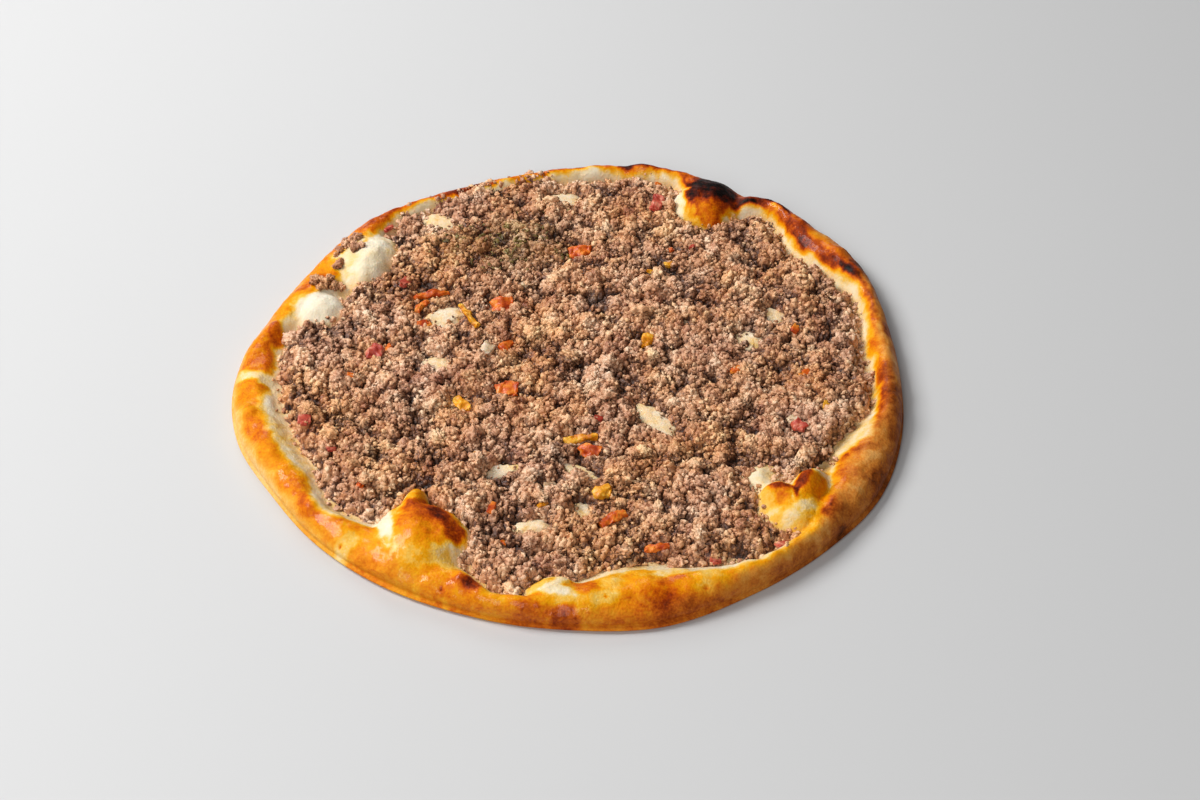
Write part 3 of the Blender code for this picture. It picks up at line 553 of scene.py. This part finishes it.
def bake_of(x, y, z, angle, line, from_foot, on_wall):
    """How far each place is baked."""
    crest, wall, pale = (round_curve(table, angle) for table in (CREST_BAKE, WALL_BAKE, PALE_WIDTHS))
    from_edge = from_foot - pale + unevenness(x, y, CRUST_EDGE)
    rise = smoothstep(-0.0018, 0.003, from_edge)
    pale_bake = PALE_BAKE + unevenness(x, y, PALE_MOTTLE)
    bake = pale_bake + (crest - pale_bake) * rise + (wall - crest) * on_wall
    beside = (from_edge - SCORCH_MIDDLE) / SCORCH_WIDTH
    bake += round_curve(SCORCH, angle) * np.exp(-beside * beside)
    mottle = unevenness(x, y, CRUST_MOTTLE, z) * round_curve(UNEVENNESS_OF_BAKE, angle)
    bake += mottle * (0.1 + 0.9 * rise) * (1 - 0.5 * on_wall)
    ragged = unevenness(x, y, SPOT_EDGE)
    for *ellipse, level, share in TOAST_SPOTS:
        weight = share * (1 - smoothstep(0.6, 1.2, ellipse_distance(x, y, *ellipse) + ragged))
        bake += (level + 0.4 * mottle - bake) * weight
    # Painted shade in the pinholes.
    bake += (PINHOLE_SHADE - bake) * 0.8 * pinhole_share(x, y)
    return np.where(line >= UNDER_INDEX - 0.5, UNDERSIDE_BAKE + 0.8 * mottle, bake)


def gloss_of(x, y, z, line, bake, dull):
    """Where the egg wash shines: in blotches on the rim, less where it is dark or dull."""
    washed = smoothstep(4.6, 6, line) * (1 - smoothstep(10.5, 12, line))
    washed *= (1 - 0.7 * smoothstep(0.62, 0.86, bake)) * (1 - 0.8 * dull)
    return washed * smoothstep(-0.35, 0.35, unevenness(x, y, WASH_BLOTCHES, z))


def ball_shape(level):
    """The points and the triangles of a ball of radius one."""
    deselect_all()
    bpy.ops.mesh.primitive_ico_sphere_add(subdivisions=level, radius=1)
    ball = bpy.context.object
    points = vertices_of(ball)
    faces = np.array([face.vertices[:] for face in ball.data.polygons])
    bpy.data.objects.remove(ball, do_unlink=True)
    return points, faces


def object_from(name, blocks, faces):
    """One mesh from blocks of points that all have the same triangles."""
    points = np.concatenate(blocks)
    firsts = np.arange(len(blocks)) * len(blocks[0])
    corners = (faces[None, :, :] + firsts[:, None, None]).reshape(-1, 3)
    mesh = bpy.data.meshes.new(name)
    mesh.vertices.add(len(points))
    mesh.vertices.foreach_set("co", points.ravel())
    mesh.loops.add(corners.size)
    mesh.loops.foreach_set("vertex_index", corners.ravel())
    mesh.polygons.add(len(corners))
    mesh.polygons.foreach_set("loop_start", np.arange(len(corners)) * 3)
    mesh.update(calc_edges=True)
    mesh.validate()
    made = bpy.data.objects.new(name, mesh)
    bpy.context.scene.collection.objects.link(made)
    return made


def make_floor_bubbles(material):
    """The thin tops of bubbles in the dough's floor, joined as one piece."""
    blocks = []
    unit, faces = ball_shape(5)
    unit_x, unit_y, unit_z = unit.T
    for number, (x, y, radius_x, radius_y, turn, top) in enumerate(FLOOR_BUBBLES):
        spread = 1 + unevenness(unit_x, unit_y, ((0.36, 1.3, 3 * number), (0.26, 3.1, 5 * number)))
        along, across = turned(unit_x * radius_x * spread, unit_y * radius_y * spread, -turn)
        rounded = np.where(unit_z > 0, np.sin(0.5 * math.pi * unit_z), 0.4 * unit_z)
        height = FLOOR_TOP - 0.0003 + rounded * (top - FLOOR_TOP - 0.0003)
        height += 0.4 * smoothstep(0.2, 0.6, unit_z) * unevenness(x + along, y + across, BLISTER_UNEVENNESS)
        blocks.append(np.stack([x + along, y + across, height], axis=1))
    bubbles = object_from("floor_bubbles", blocks, faces)
    at_x, at_y, _ = vertices_of(bubbles).T
    keep_values(bubbles, "bake", BUBBLE_BAKE + unevenness(at_x, at_y, BUBBLE_MOTTLE))
    keep_values(bubbles, "gloss", np.full(len(at_x), 0.4))
    keep_values(bubbles, "dull", 0.4 + 0.3 * noise_at(at_x, at_y, 200, 3))
    return finish_piece(bubbles, "floor_bubbles", material, "bread")


def dough_base(x, y):
    """The height of the dough's upper side, without its blisters, bubbles and skin."""
    angle, radius = np.arctan2(y, x), np.hypot(x, y)
    edge, foot = edge_radius(angle), foot_radius(angle)
    nominal = np.where(radius <= foot, radius * NOMINAL_FOOT / foot,
                       NOMINAL_FOOT + (radius - foot) * (NOMINAL_EDGE - NOMINAL_FOOT) / (edge - foot))
    height = np.interp(nominal, SECTION[:LIP_INDEX, 0], SECTION[:LIP_INDEX, 1])
    return FLOOR_TOP + (height - FLOOR_TOP) * rim_factor(angle)


def dough_top(x, y):
    """The height of the dough with its blisters and the bubbles of its floor."""
    height = with_blisters(x, y, dough_base(x, y))
    for bubble in FLOOR_BUBBLES:
        d = np.minimum(ellipse_distance(x, y, *bubble[:5]), 1)
        rounded = np.sin(0.5 * math.pi * np.sqrt(1 - d * d))
        height = np.maximum(height, FLOOR_TOP + rounded * (bubble[5] - FLOOR_TOP - 0.0008))
    return height


def inside_mince(x, y):
    """How far a place is inside the layer's edge, which is ragged and keeps off the blisters."""
    inside = round_curve(MINCE_RADII, np.arctan2(y, x)) - np.hypot(x, y)
    clear = 0.0042 - blister_height(x, y)
    return np.minimum(inside, clear) + unevenness(x, y, MINCE_EDGE) + 0.0006


def bubble_nearness(x, y):
    """The least distance from a floor bubble, in shares of its radius, with an uneven edge."""
    nearest = np.min([ellipse_distance(x, y, *bubble[:5]) for bubble in FLOOR_BUBBLES], axis=0)
    return nearest + 0.34 * noise_at(x, y, 120, 21)


def bit_boxes():
    for node in sorted(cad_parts):
        if node.split("_")[0] in BIT_KINDS:
            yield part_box(node)


def outside_box(x, y, low, high):
    """How far a place is from a box seen from above."""
    return np.hypot(np.maximum(np.maximum(low[0] - x, x - high[0]), 0),
                    np.maximum(np.maximum(low[1] - y, y - high[1]), 0))


def bed_forms(x, y):
    """The bed's clumps and lumps, and its height without the granules."""
    bend_x, bend_y = (unevenness(x, y, layers) for layers in BENDS)
    clump = rounded_cells(x + bend_x, y + bend_y, 0, CLUMPS[0], 1)
    lump = rounded_cells(x + 0.7 * bend_x, y + 0.7 * bend_y, 0, LUMPS[0], 5)
    spread = smoothstep(*EDGE_SLOPE, inside_mince(x, y))
    spread = spread * (0.12 + 0.88 * smoothstep(0.55, 1.6, bubble_nearness(x, y)))
    base = dough_base(x, y)
    body = BED_BODY + unevenness(x, y, BED_SWELL) + CLUMPS[1] * clump + LUMPS[1] * lump
    body = body * (1 - THINNING * smoothstep(0.0005, 0.005, base - FLOOR_TOP))
    height = base - BED_SINK + spread * np.maximum(body, 0.001)
    for low, high in bit_boxes():
        near = 1 - smoothstep(0, 0.003, outside_box(x, y, low, high))
        height = height + near * (np.minimum(height, low[2] + 0.0004) - height)
    return clump, lump, spread, height


def bed_slope(x, y, height):
    """The way that the bed faces, from its heights a little to each side."""
    step = 0.0003
    slope_x = (bed_forms(x + step, y)[3] - height) / step
    slope_y = (bed_forms(x, y + step)[3] - height) / step
    facing = np.stack([-slope_x, -slope_y, np.ones_like(x)], axis=1)
    return facing / np.linalg.norm(facing, axis=1)[:, None]


def edit_mode(on):
    bpy.ops.object.mode_set(mode="EDIT" if on else "OBJECT")


def make_bed_quarter(name, material, side_x, side_y):
    """A quarter of the layer's body: a grid cut off at the edge and shaped into clumps and granules."""
    steps = round(BED_HALF / BED_GRID)
    deselect_all()
    bpy.ops.mesh.primitive_grid_add(x_subdivisions=steps, y_subdivisions=steps, size=BED_HALF)
    bed = bpy.context.object
    places = vertices_of(bed)
    places += np.array((0.5 * side_x * BED_HALF, 0.5 * side_y * BED_HALF, 0))
    move_vertices(bed, places)
    take_up(bed)
    edit_mode(True)
    bpy.ops.mesh.select_mode(type="VERT")
    bpy.ops.mesh.select_all(action="DESELECT")
    edit_mode(False)
    bed.data.vertices.foreach_set("select", inside_mince(places[:, 0], places[:, 1]) < -0.001)
    edit_mode(True)
    bpy.ops.mesh.delete(type="VERT")
    edit_mode(False)
    x, y, _ = vertices_of(bed).T.copy()
    clump, lump, spread, height = bed_forms(x, y)
    bend_x, bend_y = (unevenness(x, y, layers, height) for layers in GRANULE_BENDS)
    granule = rounded_cells(x + bend_x, y + bend_y, height, GRANULES[0], 9)
    grain = rounded_cells(x + bend_x, y + bend_y, height, FINE_GRAINS[0], 13)
    out = (GRANULES[1] * granule + FINE_GRAINS[1] * grain - 0.0008) * (0.6 + 0.4 * spread)
    places = np.stack([x, y, height], axis=1) + bed_slope(x, y, height) * out[:, None]
    places[:, 0] *= np.where(np.abs(x) < 0.5 * BED_GRID, 0, 1)
    places[:, 1] *= np.where(np.abs(y) < 0.5 * BED_GRID, 0, 1)
    move_vertices(bed, places)
    # Painted light and shade: tops of clumps, lumps and granules light, painted shade in the creases;
    # granule tops also lighter in tone, a painted highlight.
    painted_light = 0.42 * clump + 0.34 * lump + 0.28 * granule + 0.14 * grain - 0.26
    keep_mince(bed, x, y, painted_light, 0.1 * (granule - 0.6), 0)
    edit_mode(True)
    bpy.ops.mesh.select_all(action="SELECT")
    bpy.ops.mesh.region_to_loop()
    bpy.ops.mesh.extrude_region_move(TRANSFORM_OT_translate={"value": (0, 0, -0.0006)})
    edit_mode(False)
    lowered = np.zeros(len(bed.data.vertices), dtype=bool)
    bed.data.vertices.foreach_get("select", lowered)
    places = vertices_of(bed)
    places[lowered, 2] = BED_UNDERSIDE
    move_vertices(bed, places)
    edit_mode(True)
    bpy.ops.mesh.edge_face_add()
    edit_mode(False)
    return finish_piece(bed, name, material, "mince", "minced_meat")


def make_mince_bed(material):
    make_bed_quarter("mince_bed_back_right", material, 1, 1)
    make_bed_quarter("mince_bed_back_left", material, -1, 1)
    make_bed_quarter("mince_bed_front_left", material, -1, -1)
    make_bed_quarter("mince_bed_front_right", material, 1, -1)


def herb_at(x, y):
    """Where the mince is darker and greener with herbs."""
    near = 1 - smoothstep(0.6, 1.4, ellipse_distance(x, y, *HERB_MIDDLE, *HERB_SPREAD, 10))
    return near * (1 + 0.5 * noise_at(x, y, 150, 12))


def keep_mince(obj, x, y, painted_light, fatter_and_lit_tops, warmer):
    """Stores the mince's painted light and shade, and how fat, tan and green it is: 0 in tone is brown and
    1 is fat.
    """
    keep_values(obj, "painted_light", painted_light)
    keep_values(obj, "tone", MIDDLE_TONE + unevenness(x, y, TONES) + fatter_and_lit_tops)
    keep_values(obj, "warm", MIDDLE_WARMTH + unevenness(x, y, WARMTHS) + warmer)
    keep_values(obj, "herb", herb_at(x, y))


def crumb_shapes(level, draw, stretch, knobs, roughness):
    """A few crumbs, each a ball pushed out into knobs: their points, how far out each is, and the faces."""
    shapes, lifts = [], []
    unit, faces = ball_shape(level)
    for _ in range(SHAPES_OF_A_KIND):
        x, y, z = unit.T + draw.uniform(0, 90)
        knob = rounded_cells(x, y, z, knobs, 3)
        push = 0.72 + 0.62 * noise_at(x, y, 1.15, 2, z) + roughness * (knob - 0.4)
        points = unit * push[:, None] * np.array(stretch)
        points[:, 1] += 0.3 * (stretch[0] - 1.0) * points[:, 0] ** 2 * draw.choice((-1.0, 1.0))
        shapes.append(points)
        lifts.append(knob)
    return np.array(shapes), np.array(lifts), faces


def turns(count, draw, most_tilt):
    """Random turns: all the way round the upright axis, and tilted up to a limit."""
    spin, way = draw.uniform(0, math.tau, count), draw.uniform(0, math.tau, count)
    lean = draw.uniform(0, most_tilt, count)[:, None, None]
    cross = np.zeros((count, 3, 3))
    cross[:, 0, 2], cross[:, 2, 0] = np.sin(way), -np.sin(way)
    cross[:, 1, 2], cross[:, 2, 1] = -np.cos(way), np.cos(way)
    tilt = np.eye(3) + np.sin(lean) * cross + (1 - np.cos(lean)) * cross @ cross
    upright = np.zeros((count, 3, 3))
    upright[:, 0, 0] = upright[:, 1, 1] = np.cos(spin)
    upright[:, 1, 0], upright[:, 0, 1] = np.sin(spin), -np.sin(spin)
    upright[:, 2, 2] = 1
    return tilt @ upright


def scattered(shapes, x, y, z, radius, most_tilt, draw):
    """Copies of shapes turned at random: their points before they are placed and after, and their kinds."""
    kinds = draw.integers(0, SHAPES_OF_A_KIND, len(x))
    local = np.einsum("nij,nvj->nvi", turns(len(x), draw, most_tilt), shapes[kinds] * radius[:, None, None])
    return local, local + np.stack([x, y, z], axis=1)[:, None, :], kinds


def scatter(spacing, draw):
    """Places over the pie, evenly spread but not in rows."""
    row, column = np.mgrid[0:int(2 * BED_HALF / (spacing * 0.866)), 0:int(2 * BED_HALF / spacing)]
    stagger = 0.5 * (row % 2)
    x = -BED_HALF + (column + stagger + draw.uniform(-0.45, 0.45, row.shape)) * spacing
    y = -BED_HALF + (row * 0.866 + draw.uniform(-0.45, 0.45, row.shape)) * spacing
    return x.ravel(), y.ravel()


def make_crumbs(name, material, draw, spacing, radii, level, stretch, knobs, roughness, sink, most_tilt):
    """One kind of crumb, scattered over the layer as one mesh."""
    x, y = scatter(spacing, draw)
    radius = draw.uniform(*radii, len(x))
    spill = CRUMB_SPILL * draw.uniform(0, 1, len(x)) ** 2
    keep = inside_mince(x, y) > radius * 0.5 - spill - 0.0008
    covered = bubble_nearness(x, y) + 0.6 * noise_at(x, y, 260, 22)
    keep &= covered > 0.86 - 0.7 * draw.uniform(0, 1, len(x)) ** 3
    keep &= blister_height(x, y) < HIGHEST_BLISTER_UNDER_CRUMBS
    overlapping = radius * draw.choice((0.2, 0.2, -1.0), len(x))
    for low, high in bit_boxes():
        keep &= outside_box(x, y, low, high) > overlapping
    clump, lump, _, height = bed_forms(x, y)
    on_slope = 0.4 * (1 - smoothstep(0, 0.007, inside_mince(x, y)))
    keep &= 0.6 * clump + 0.4 * lump + on_slope > draw.uniform(0.34, 0.66, len(x))
    kept = np.array((x, y, radius, clump, lump, height, on_slope))[:, keep]
    x, y, radius, clump, lump, height, on_slope = kept
    z = np.maximum(height + 0.0003, dough_top(x, y)) + radius * (1 - sink) * stretch[2]
    shapes, knob, faces = crumb_shapes(level, draw, stretch, knobs, roughness)
    local, points, kinds = scattered(shapes, x, y, z, radius, most_tilt, draw)
    crumbs = object_from(name, points, faces)
    at_x, at_y = points[:, :, 0].ravel(), points[:, :, 1].ravel()
    own = np.repeat(draw.normal(0, 0.1, len(x)), shapes.shape[1])
    # Painted light and shade: crumbs on clump tops and near the edge, and each crumb's top and knobs, are
    # light; undersides and creases get painted shade.
    painted_light = (0.38 * clump + 0.26 * lump + 0.5 * on_slope - 0.16)[:, None]
    painted_light = painted_light + 0.32 * local[:, :, 2] / radius[:, None] + 0.34 * knob[kinds]
    keep_mince(crumbs, at_x, at_y, painted_light.ravel(), own + 0.12, own)
    return finish_piece(crumbs, name, material, "mince")


def soften_bit(bit, draw, strength):
    """Rounds a bit's corners and makes its skin uneven."""
    smooth = bit.modifiers.new("smooth", "SUBSURF")
    smooth.levels = smooth.render_levels = 2
    take_up(bit)
    bpy.ops.object.modifier_apply(modifier=smooth.name)
    places = vertices_of(bit)
    x, y, z = places.T.copy()
    shift = draw.uniform(0, 50)
    for axis in range(3):
        places[:, axis] += strength * noise_at(x, y, 260, shift + axis, z)
        places[:, axis] += 0.5 * strength * noise_at(x, y, 640, shift + axis, z)
    move_vertices(bit, places)


def make_bit(node, material, slot, draw):
    """A bit of vegetable: the model's own bit, rounded and uneven."""
    deselect_all()
    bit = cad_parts[node].copy()
    bit.data = bit.data.copy()
    bit.parent = None
    for key in list(bit.keys()):
        del bit[key]
    bpy.context.scene.collection.objects.link(bit)
    take_up(bit)
    edit_mode(True)
    bpy.ops.mesh.select_all(action="SELECT")
    bpy.ops.mesh.remove_doubles(threshold=0.00001)
    bpy.ops.mesh.subdivide(number_cuts=1)
    edit_mode(False)
    soften_bit(bit, draw, BIT_UNEVENNESS)
    return finish_piece(bit, "cooked_" + node, material, slot, node)


def make_flecks(kind, material, draw):
    """The smaller flecks of one kind, joined as one piece."""
    shapes, _, faces = crumb_shapes(4, draw, (1, 1, 1), 1.4, 0.35)
    blocks = []
    rows = np.array(FLECKS[kind]) / (MM, MM, MM, MM, 1)
    for flake, (x, y, length, width, turn) in zip(itertools.cycle(shapes), rows):
        place_x, place_y = np.array([x]), np.array([y])
        ground = max(bed_forms(place_x, place_y)[3][0] + 0.0007, dough_top(place_x, place_y)[0])
        half = 0.5 * np.array((0.9 * length, 0.9 * width, FLECK_THICKNESS))
        flake = np.clip(flake * (0.62 * length, 0.62 * width, FLECK_THICKNESS), -half, half)
        lean = Euler((draw.uniform(-0.4, 0.4), draw.uniform(-0.4, 0.4), math.radians(turn))).to_matrix()
        blocks.append(flake @ np.array(lean).T + np.array((x, y, ground)))
    flecks = object_from(kind + "_flecks", blocks, faces)
    return finish_piece(flecks, kind + "_flecks", material, kind)


def make_herbs(material, draw):
    """Chopped herbs on one part of the mince: thin leaves, as one mesh."""
    shapes, _, faces = crumb_shapes(2, draw, (1.5, 0.8, 0.25), 1.6, 0.6)
    x, y = (draw.normal(middle, 0.6 * reach, HERB_COUNT) for middle, reach in zip(HERB_MIDDLE, HERB_SPREAD))
    keep = inside_mince(x, y) > 0.003
    x, y = x[keep], y[keep]
    radius = draw.uniform(0.0006, 0.0012, len(x))
    points = scattered(shapes, x, y, bed_forms(x, y)[3] + 0.0016, radius, 0.9, draw)[1]
    herbs = object_from("herb_flecks", points, faces)
    return finish_piece(herbs, "herb_flecks", material, "mince")


def make_strays(material, draw):
    """Crumbs that lie on the pale blisters, away from the layer."""
    shapes, knob, faces = crumb_shapes(4, draw, (1.15, 1, 0.85), 1.9, 0.6)
    for node, places in STRAY_CRUMBS.items():
        blocks, lifts = [], []
        for x, y, radius in np.array(places) / MM:
            kind = draw.integers(0, SHAPES_OF_A_KIND)
            local = shapes[kind] * radius @ turns(1, draw, 1.2)[0].T
            z = dough_top(np.array([x]), np.array([y]))[0] + radius * 0.4
            blocks.append(local + np.array((x, y, z)))
            # Painted light on each crumb's top and knobs, painted shade underneath.
            lifts.append(0.3 + 0.22 * local[:, 2] / radius + 0.42 * knob[kind])
        name = node + "_crumbs"
        crumbs = object_from(name, blocks, faces)
        at_x, at_y, _ = vertices_of(crumbs).T
        keep_mince(crumbs, at_x, at_y, np.concatenate(lifts), -0.1, 0.3)
        finish_piece(crumbs, name, material, "mince", node)


def grain_group():
    """Fine relief and a speckle: noise at two sizes, on the object's own coordinates."""
    group = bpy.data.node_groups.new("fine_grain", "ShaderNodeTree")
    group.interface.new_socket("Size", in_out="INPUT", socket_type="NodeSocketFloat").default_value = 300.0
    nodes, links = group.nodes, group.links
    inside = nodes.new("NodeGroupInput")
    outside = nodes.new("NodeGroupOutput")
    place = nodes.new("ShaderNodeTexCoord")
    for name, closeness, detail in (("Relief", 1, 4), ("Speckle", 3.3, 2)):
        group.interface.new_socket(name, in_out="OUTPUT", socket_type="NodeSocketFloat")
        scale = nodes.new("ShaderNodeMath")
        scale.operation = "MULTIPLY"
        scale.inputs[1].default_value = closeness
        noise = nodes.new("ShaderNodeTexNoise")
        noise.inputs["Detail"].default_value = detail
        links.new(inside.outputs["Size"], scale.inputs[0])
        links.new(scale.outputs[0], noise.inputs["Scale"])
        links.new(place.outputs["Object"], noise.inputs["Vector"])
        links.new(noise.outputs["Fac"], outside.inputs[name])
    return group


class Shading:
    """A material, with short ways to add nodes to it and to link them."""

    def __init__(self, name, grain=None, grain_size=0):
        self.material = bpy.data.materials.new(name)
        self.material.use_nodes = True
        self.nodes, self.links = self.material.node_tree.nodes, self.material.node_tree.links
        self.surface = self.nodes["Principled BSDF"].inputs
        if grain:
            fine = self.add("ShaderNodeGroup", node_tree=grain)
            fine.inputs["Size"].default_value = grain_size
            self.relief, self.speckle = fine.outputs["Relief"], fine.outputs["Speckle"]

    def add(self, kind, **values):
        made = self.nodes.new(kind)
        for name, value in values.items():
            setattr(made, name, value)
        return made

    def put(self, socket, value):
        """Gives a socket its value, or a link where the value is another socket."""
        if isinstance(value, (int, float, tuple)):
            socket.default_value = value
        else:
            self.links.new(value, socket)

    def feed(self, name, value):
        self.put(self.surface[name], value)

    def attribute(self, name):
        return self.add("ShaderNodeAttribute", attribute_name=name).outputs["Fac"]

    def math(self, operation, *values):
        made = self.add("ShaderNodeMath", operation=operation)
        for socket, value in zip(made.inputs, values):
            self.put(socket, value)
        return made.outputs[0]

    def mix(self, blend, factor, first, other):
        """Two colours mixed, or one multiplied by the other, as far as a factor says."""
        mixed = self.add("ShaderNodeMix", data_type="RGBA", blend_type=blend)
        self.put(mixed.inputs["Factor"], factor)
        self.put(mixed.inputs[6], first)
        self.put(mixed.inputs[7], other)
        return mixed.outputs[2]

    def ramp(self, factor, stops, on_screen=True):
        """A ramp of colours, given as a screen's eight-bit values or else in linear light."""
        made = self.add("ShaderNodeValToRGB")
        while len(made.color_ramp.elements) < len(stops):
            made.color_ramp.elements.new(0.5)
        for element, (place, *colour) in zip(made.color_ramp.elements, stops):
            element.position = place
            element.color = tint(*colour) if on_screen else (*colour, 1.0)
        self.links.new(factor, made.inputs["Fac"])
        return made.outputs["Color"]

    def bump(self, height, distance, strength):
        made = self.add("ShaderNodeBump")
        made.inputs["Strength"].default_value = strength
        made.inputs["Distance"].default_value = distance
        self.links.new(height, made.inputs["Height"])
        self.feed("Normal", made.outputs["Normal"])

    def let_light_in(self, weight, reach):
        self.feed("Subsurface Weight", weight)
        self.feed("Subsurface Radius", reach)
        self.feed("Subsurface Scale", 1)


def dough_material(grain):
    crust = Shading("baked_dough", grain, 300)
    bake, gloss, dull = (crust.attribute(name) for name in ("bake", "gloss", "dull"))
    browned = crust.math("MULTIPLY", bake, 3)
    browned.node.use_clamp = True
    wobble = crust.math("MULTIPLY_ADD", crust.relief, 0.36, -0.18)
    speckle = crust.math("MULTIPLY_ADD", crust.speckle, 0.24, -0.12)
    uneven = crust.math("MULTIPLY", crust.math("ADD", wobble, speckle), browned)
    level = crust.math("ADD", bake, uneven)
    washed, bare = crust.ramp(level, WASHED_CRUST), crust.ramp(level, BARE_CRUST)
    crust.feed("Base Color", crust.mix("MIX", dull, washed, bare))
    crust.feed("Roughness", crust.math("MULTIPLY_ADD", gloss, -0.22, 0.58))
    crust.feed("Coat Weight", crust.math("MULTIPLY", gloss, 0.21))
    crust.feed("Coat Roughness", 0.08)
    crust.feed("Specular IOR Level", 0.08)
    crust.let_light_in(0.1, (0.004, 0.002, 0.001))
    crust.bump(crust.speckle, 0.0004, 0.8)
    return crust.material


def mince_material(grain):
    mince = Shading("cooked_mince", grain, 620)
    tone, warm, painted_light, herb = (mince.attribute(name) for name in ("tone", "warm", "painted_light", "herb"))
    mixed = mince.math("MULTIPLY_ADD", mince.relief, 1.1, -0.55)
    specks = mince.math("MULTIPLY_ADD", mince.speckle, 0.55, -0.29)
    # The tone: the fat and the mince's own tone, with the painted highlight on the bed's granule tops.
    fat = mince.math("ADD", mince.math("ADD", mixed, specks), tone)
    tanned = mince.mix("MULTIPLY", warm, mince.ramp(fat, MINCE_COLOURS), tint(*MINCE_TAN))
    # Painted shade: the mince is darkened where its painted light value is low, in crevices and under
    # crumbs.
    depth = mince.math("ADD", mince.math("MULTIPLY_ADD", mince.speckle, 0.36, -0.18), painted_light)
    shaded = mince.mix("MULTIPLY", 1, tanned, mince.ramp(depth, MINCE_PAINTED_SHADES, on_screen=False))
    greened = mince.mix("MULTIPLY", mince.math("MULTIPLY", herb, 0.7), shaded, tint(*HERB_GREEN))
    mince.feed("Base Color", greened)
    mince.feed("Roughness", mince.math("MULTIPLY_ADD", mince.speckle, 0.35, 0.28))
    mince.feed("Specular IOR Level", 0.45)
    mince.bump(mince.relief, 0.0008, 1)
    return mince.material


def bit_material(name, colours, grain):
    """Cooked vegetable: moist, and uneven in colour."""
    bit = Shading(name, grain, 260)
    bit.feed("Base Color", bit.ramp(bit.relief, colours))
    bit.feed("Roughness", bit.math("MULTIPLY_ADD", bit.speckle, 0.3, 0.25))
    bit.feed("Specular IOR Level", 0.35)
    bit.let_light_in(0.2, (0.002, 0.001, 0.0005))
    bit.bump(bit.speckle, 0.0002, 0.6)
    return bit.material


def make_bits(grain, draw):
    finishes = {slot: bit_material("cooked_" + slot, stops, grain) for slot, stops in BIT_COLOURS.items()}
    for node in sorted(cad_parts):
        kind = node.split("_")[0]
        if kind in BIT_KINDS:
            slot = "yellow_pepper" if node in YELLOW_BITS else kind
            make_bit(node, finishes[slot], slot, draw)
    for kind in FLECKS:
        make_flecks(kind, finishes[kind], draw)
    make_herbs(bit_material("chopped_herb", HERB_COLOURS, grain), draw)


def make_camera():
    bpy.ops.object.camera_add(location=CAMERA_PLACE, rotation=(math.radians(90 - CAMERA_PITCH), 0, 0))
    camera = bpy.context.object
    camera.data.lens = FOCAL_LENGTH_MM
    camera.data.clip_start = 0.05
    bpy.context.scene.camera = camera


def make_floor():
    deselect_all()
    bpy.ops.mesh.primitive_plane_add(size=FLOOR_SIZE)
    ground = bpy.context.object
    ground.name = "studio_floor"
    finish = Shading("studio_floor")
    finish.feed("Base Color", tint(*FLOOR_GREY))
    finish.feed("Roughness", FLOOR_ROUGHNESS)
    ground.data.materials.append(finish.material)


def make_lights():
    for name, (place, size, power) in LIGHTS.items():
        bpy.ops.object.light_add(type="AREA", location=place)
        lamp = bpy.context.object
        lamp.name = name
        lamp.rotation_euler = (-Vector(place)).to_track_quat("-Z", "Y").to_euler()
        lamp.data.shape = "RECTANGLE"
        lamp.data.size, lamp.data.size_y = size
        lamp.data.energy = power
    world = bpy.data.worlds.new("studio")
    world.use_nodes = True
    background = world.node_tree.nodes["Background"].inputs
    background["Color"].default_value = (1.0, 1.0, 1.0, 1.0)
    background["Strength"].default_value = WORLD_STRENGTH
    bpy.context.scene.world = world
    bpy.context.scene.view_settings.view_transform = "Standard"


def main():
    grain = grain_group()
    make_camera()
    make_floor()
    make_lights()
    draw = np.random.default_rng(SEED)
    baked = dough_material(grain)
    make_dough(baked)
    make_floor_bubbles(baked)
    mince = mince_material(grain)
    make_mince_bed(mince)
    for name, kind in CRUMB_KINDS.items():
        make_crumbs(name, mince, draw, *kind)
    make_strays(mince, draw)
    make_bits(grain, draw)


main()
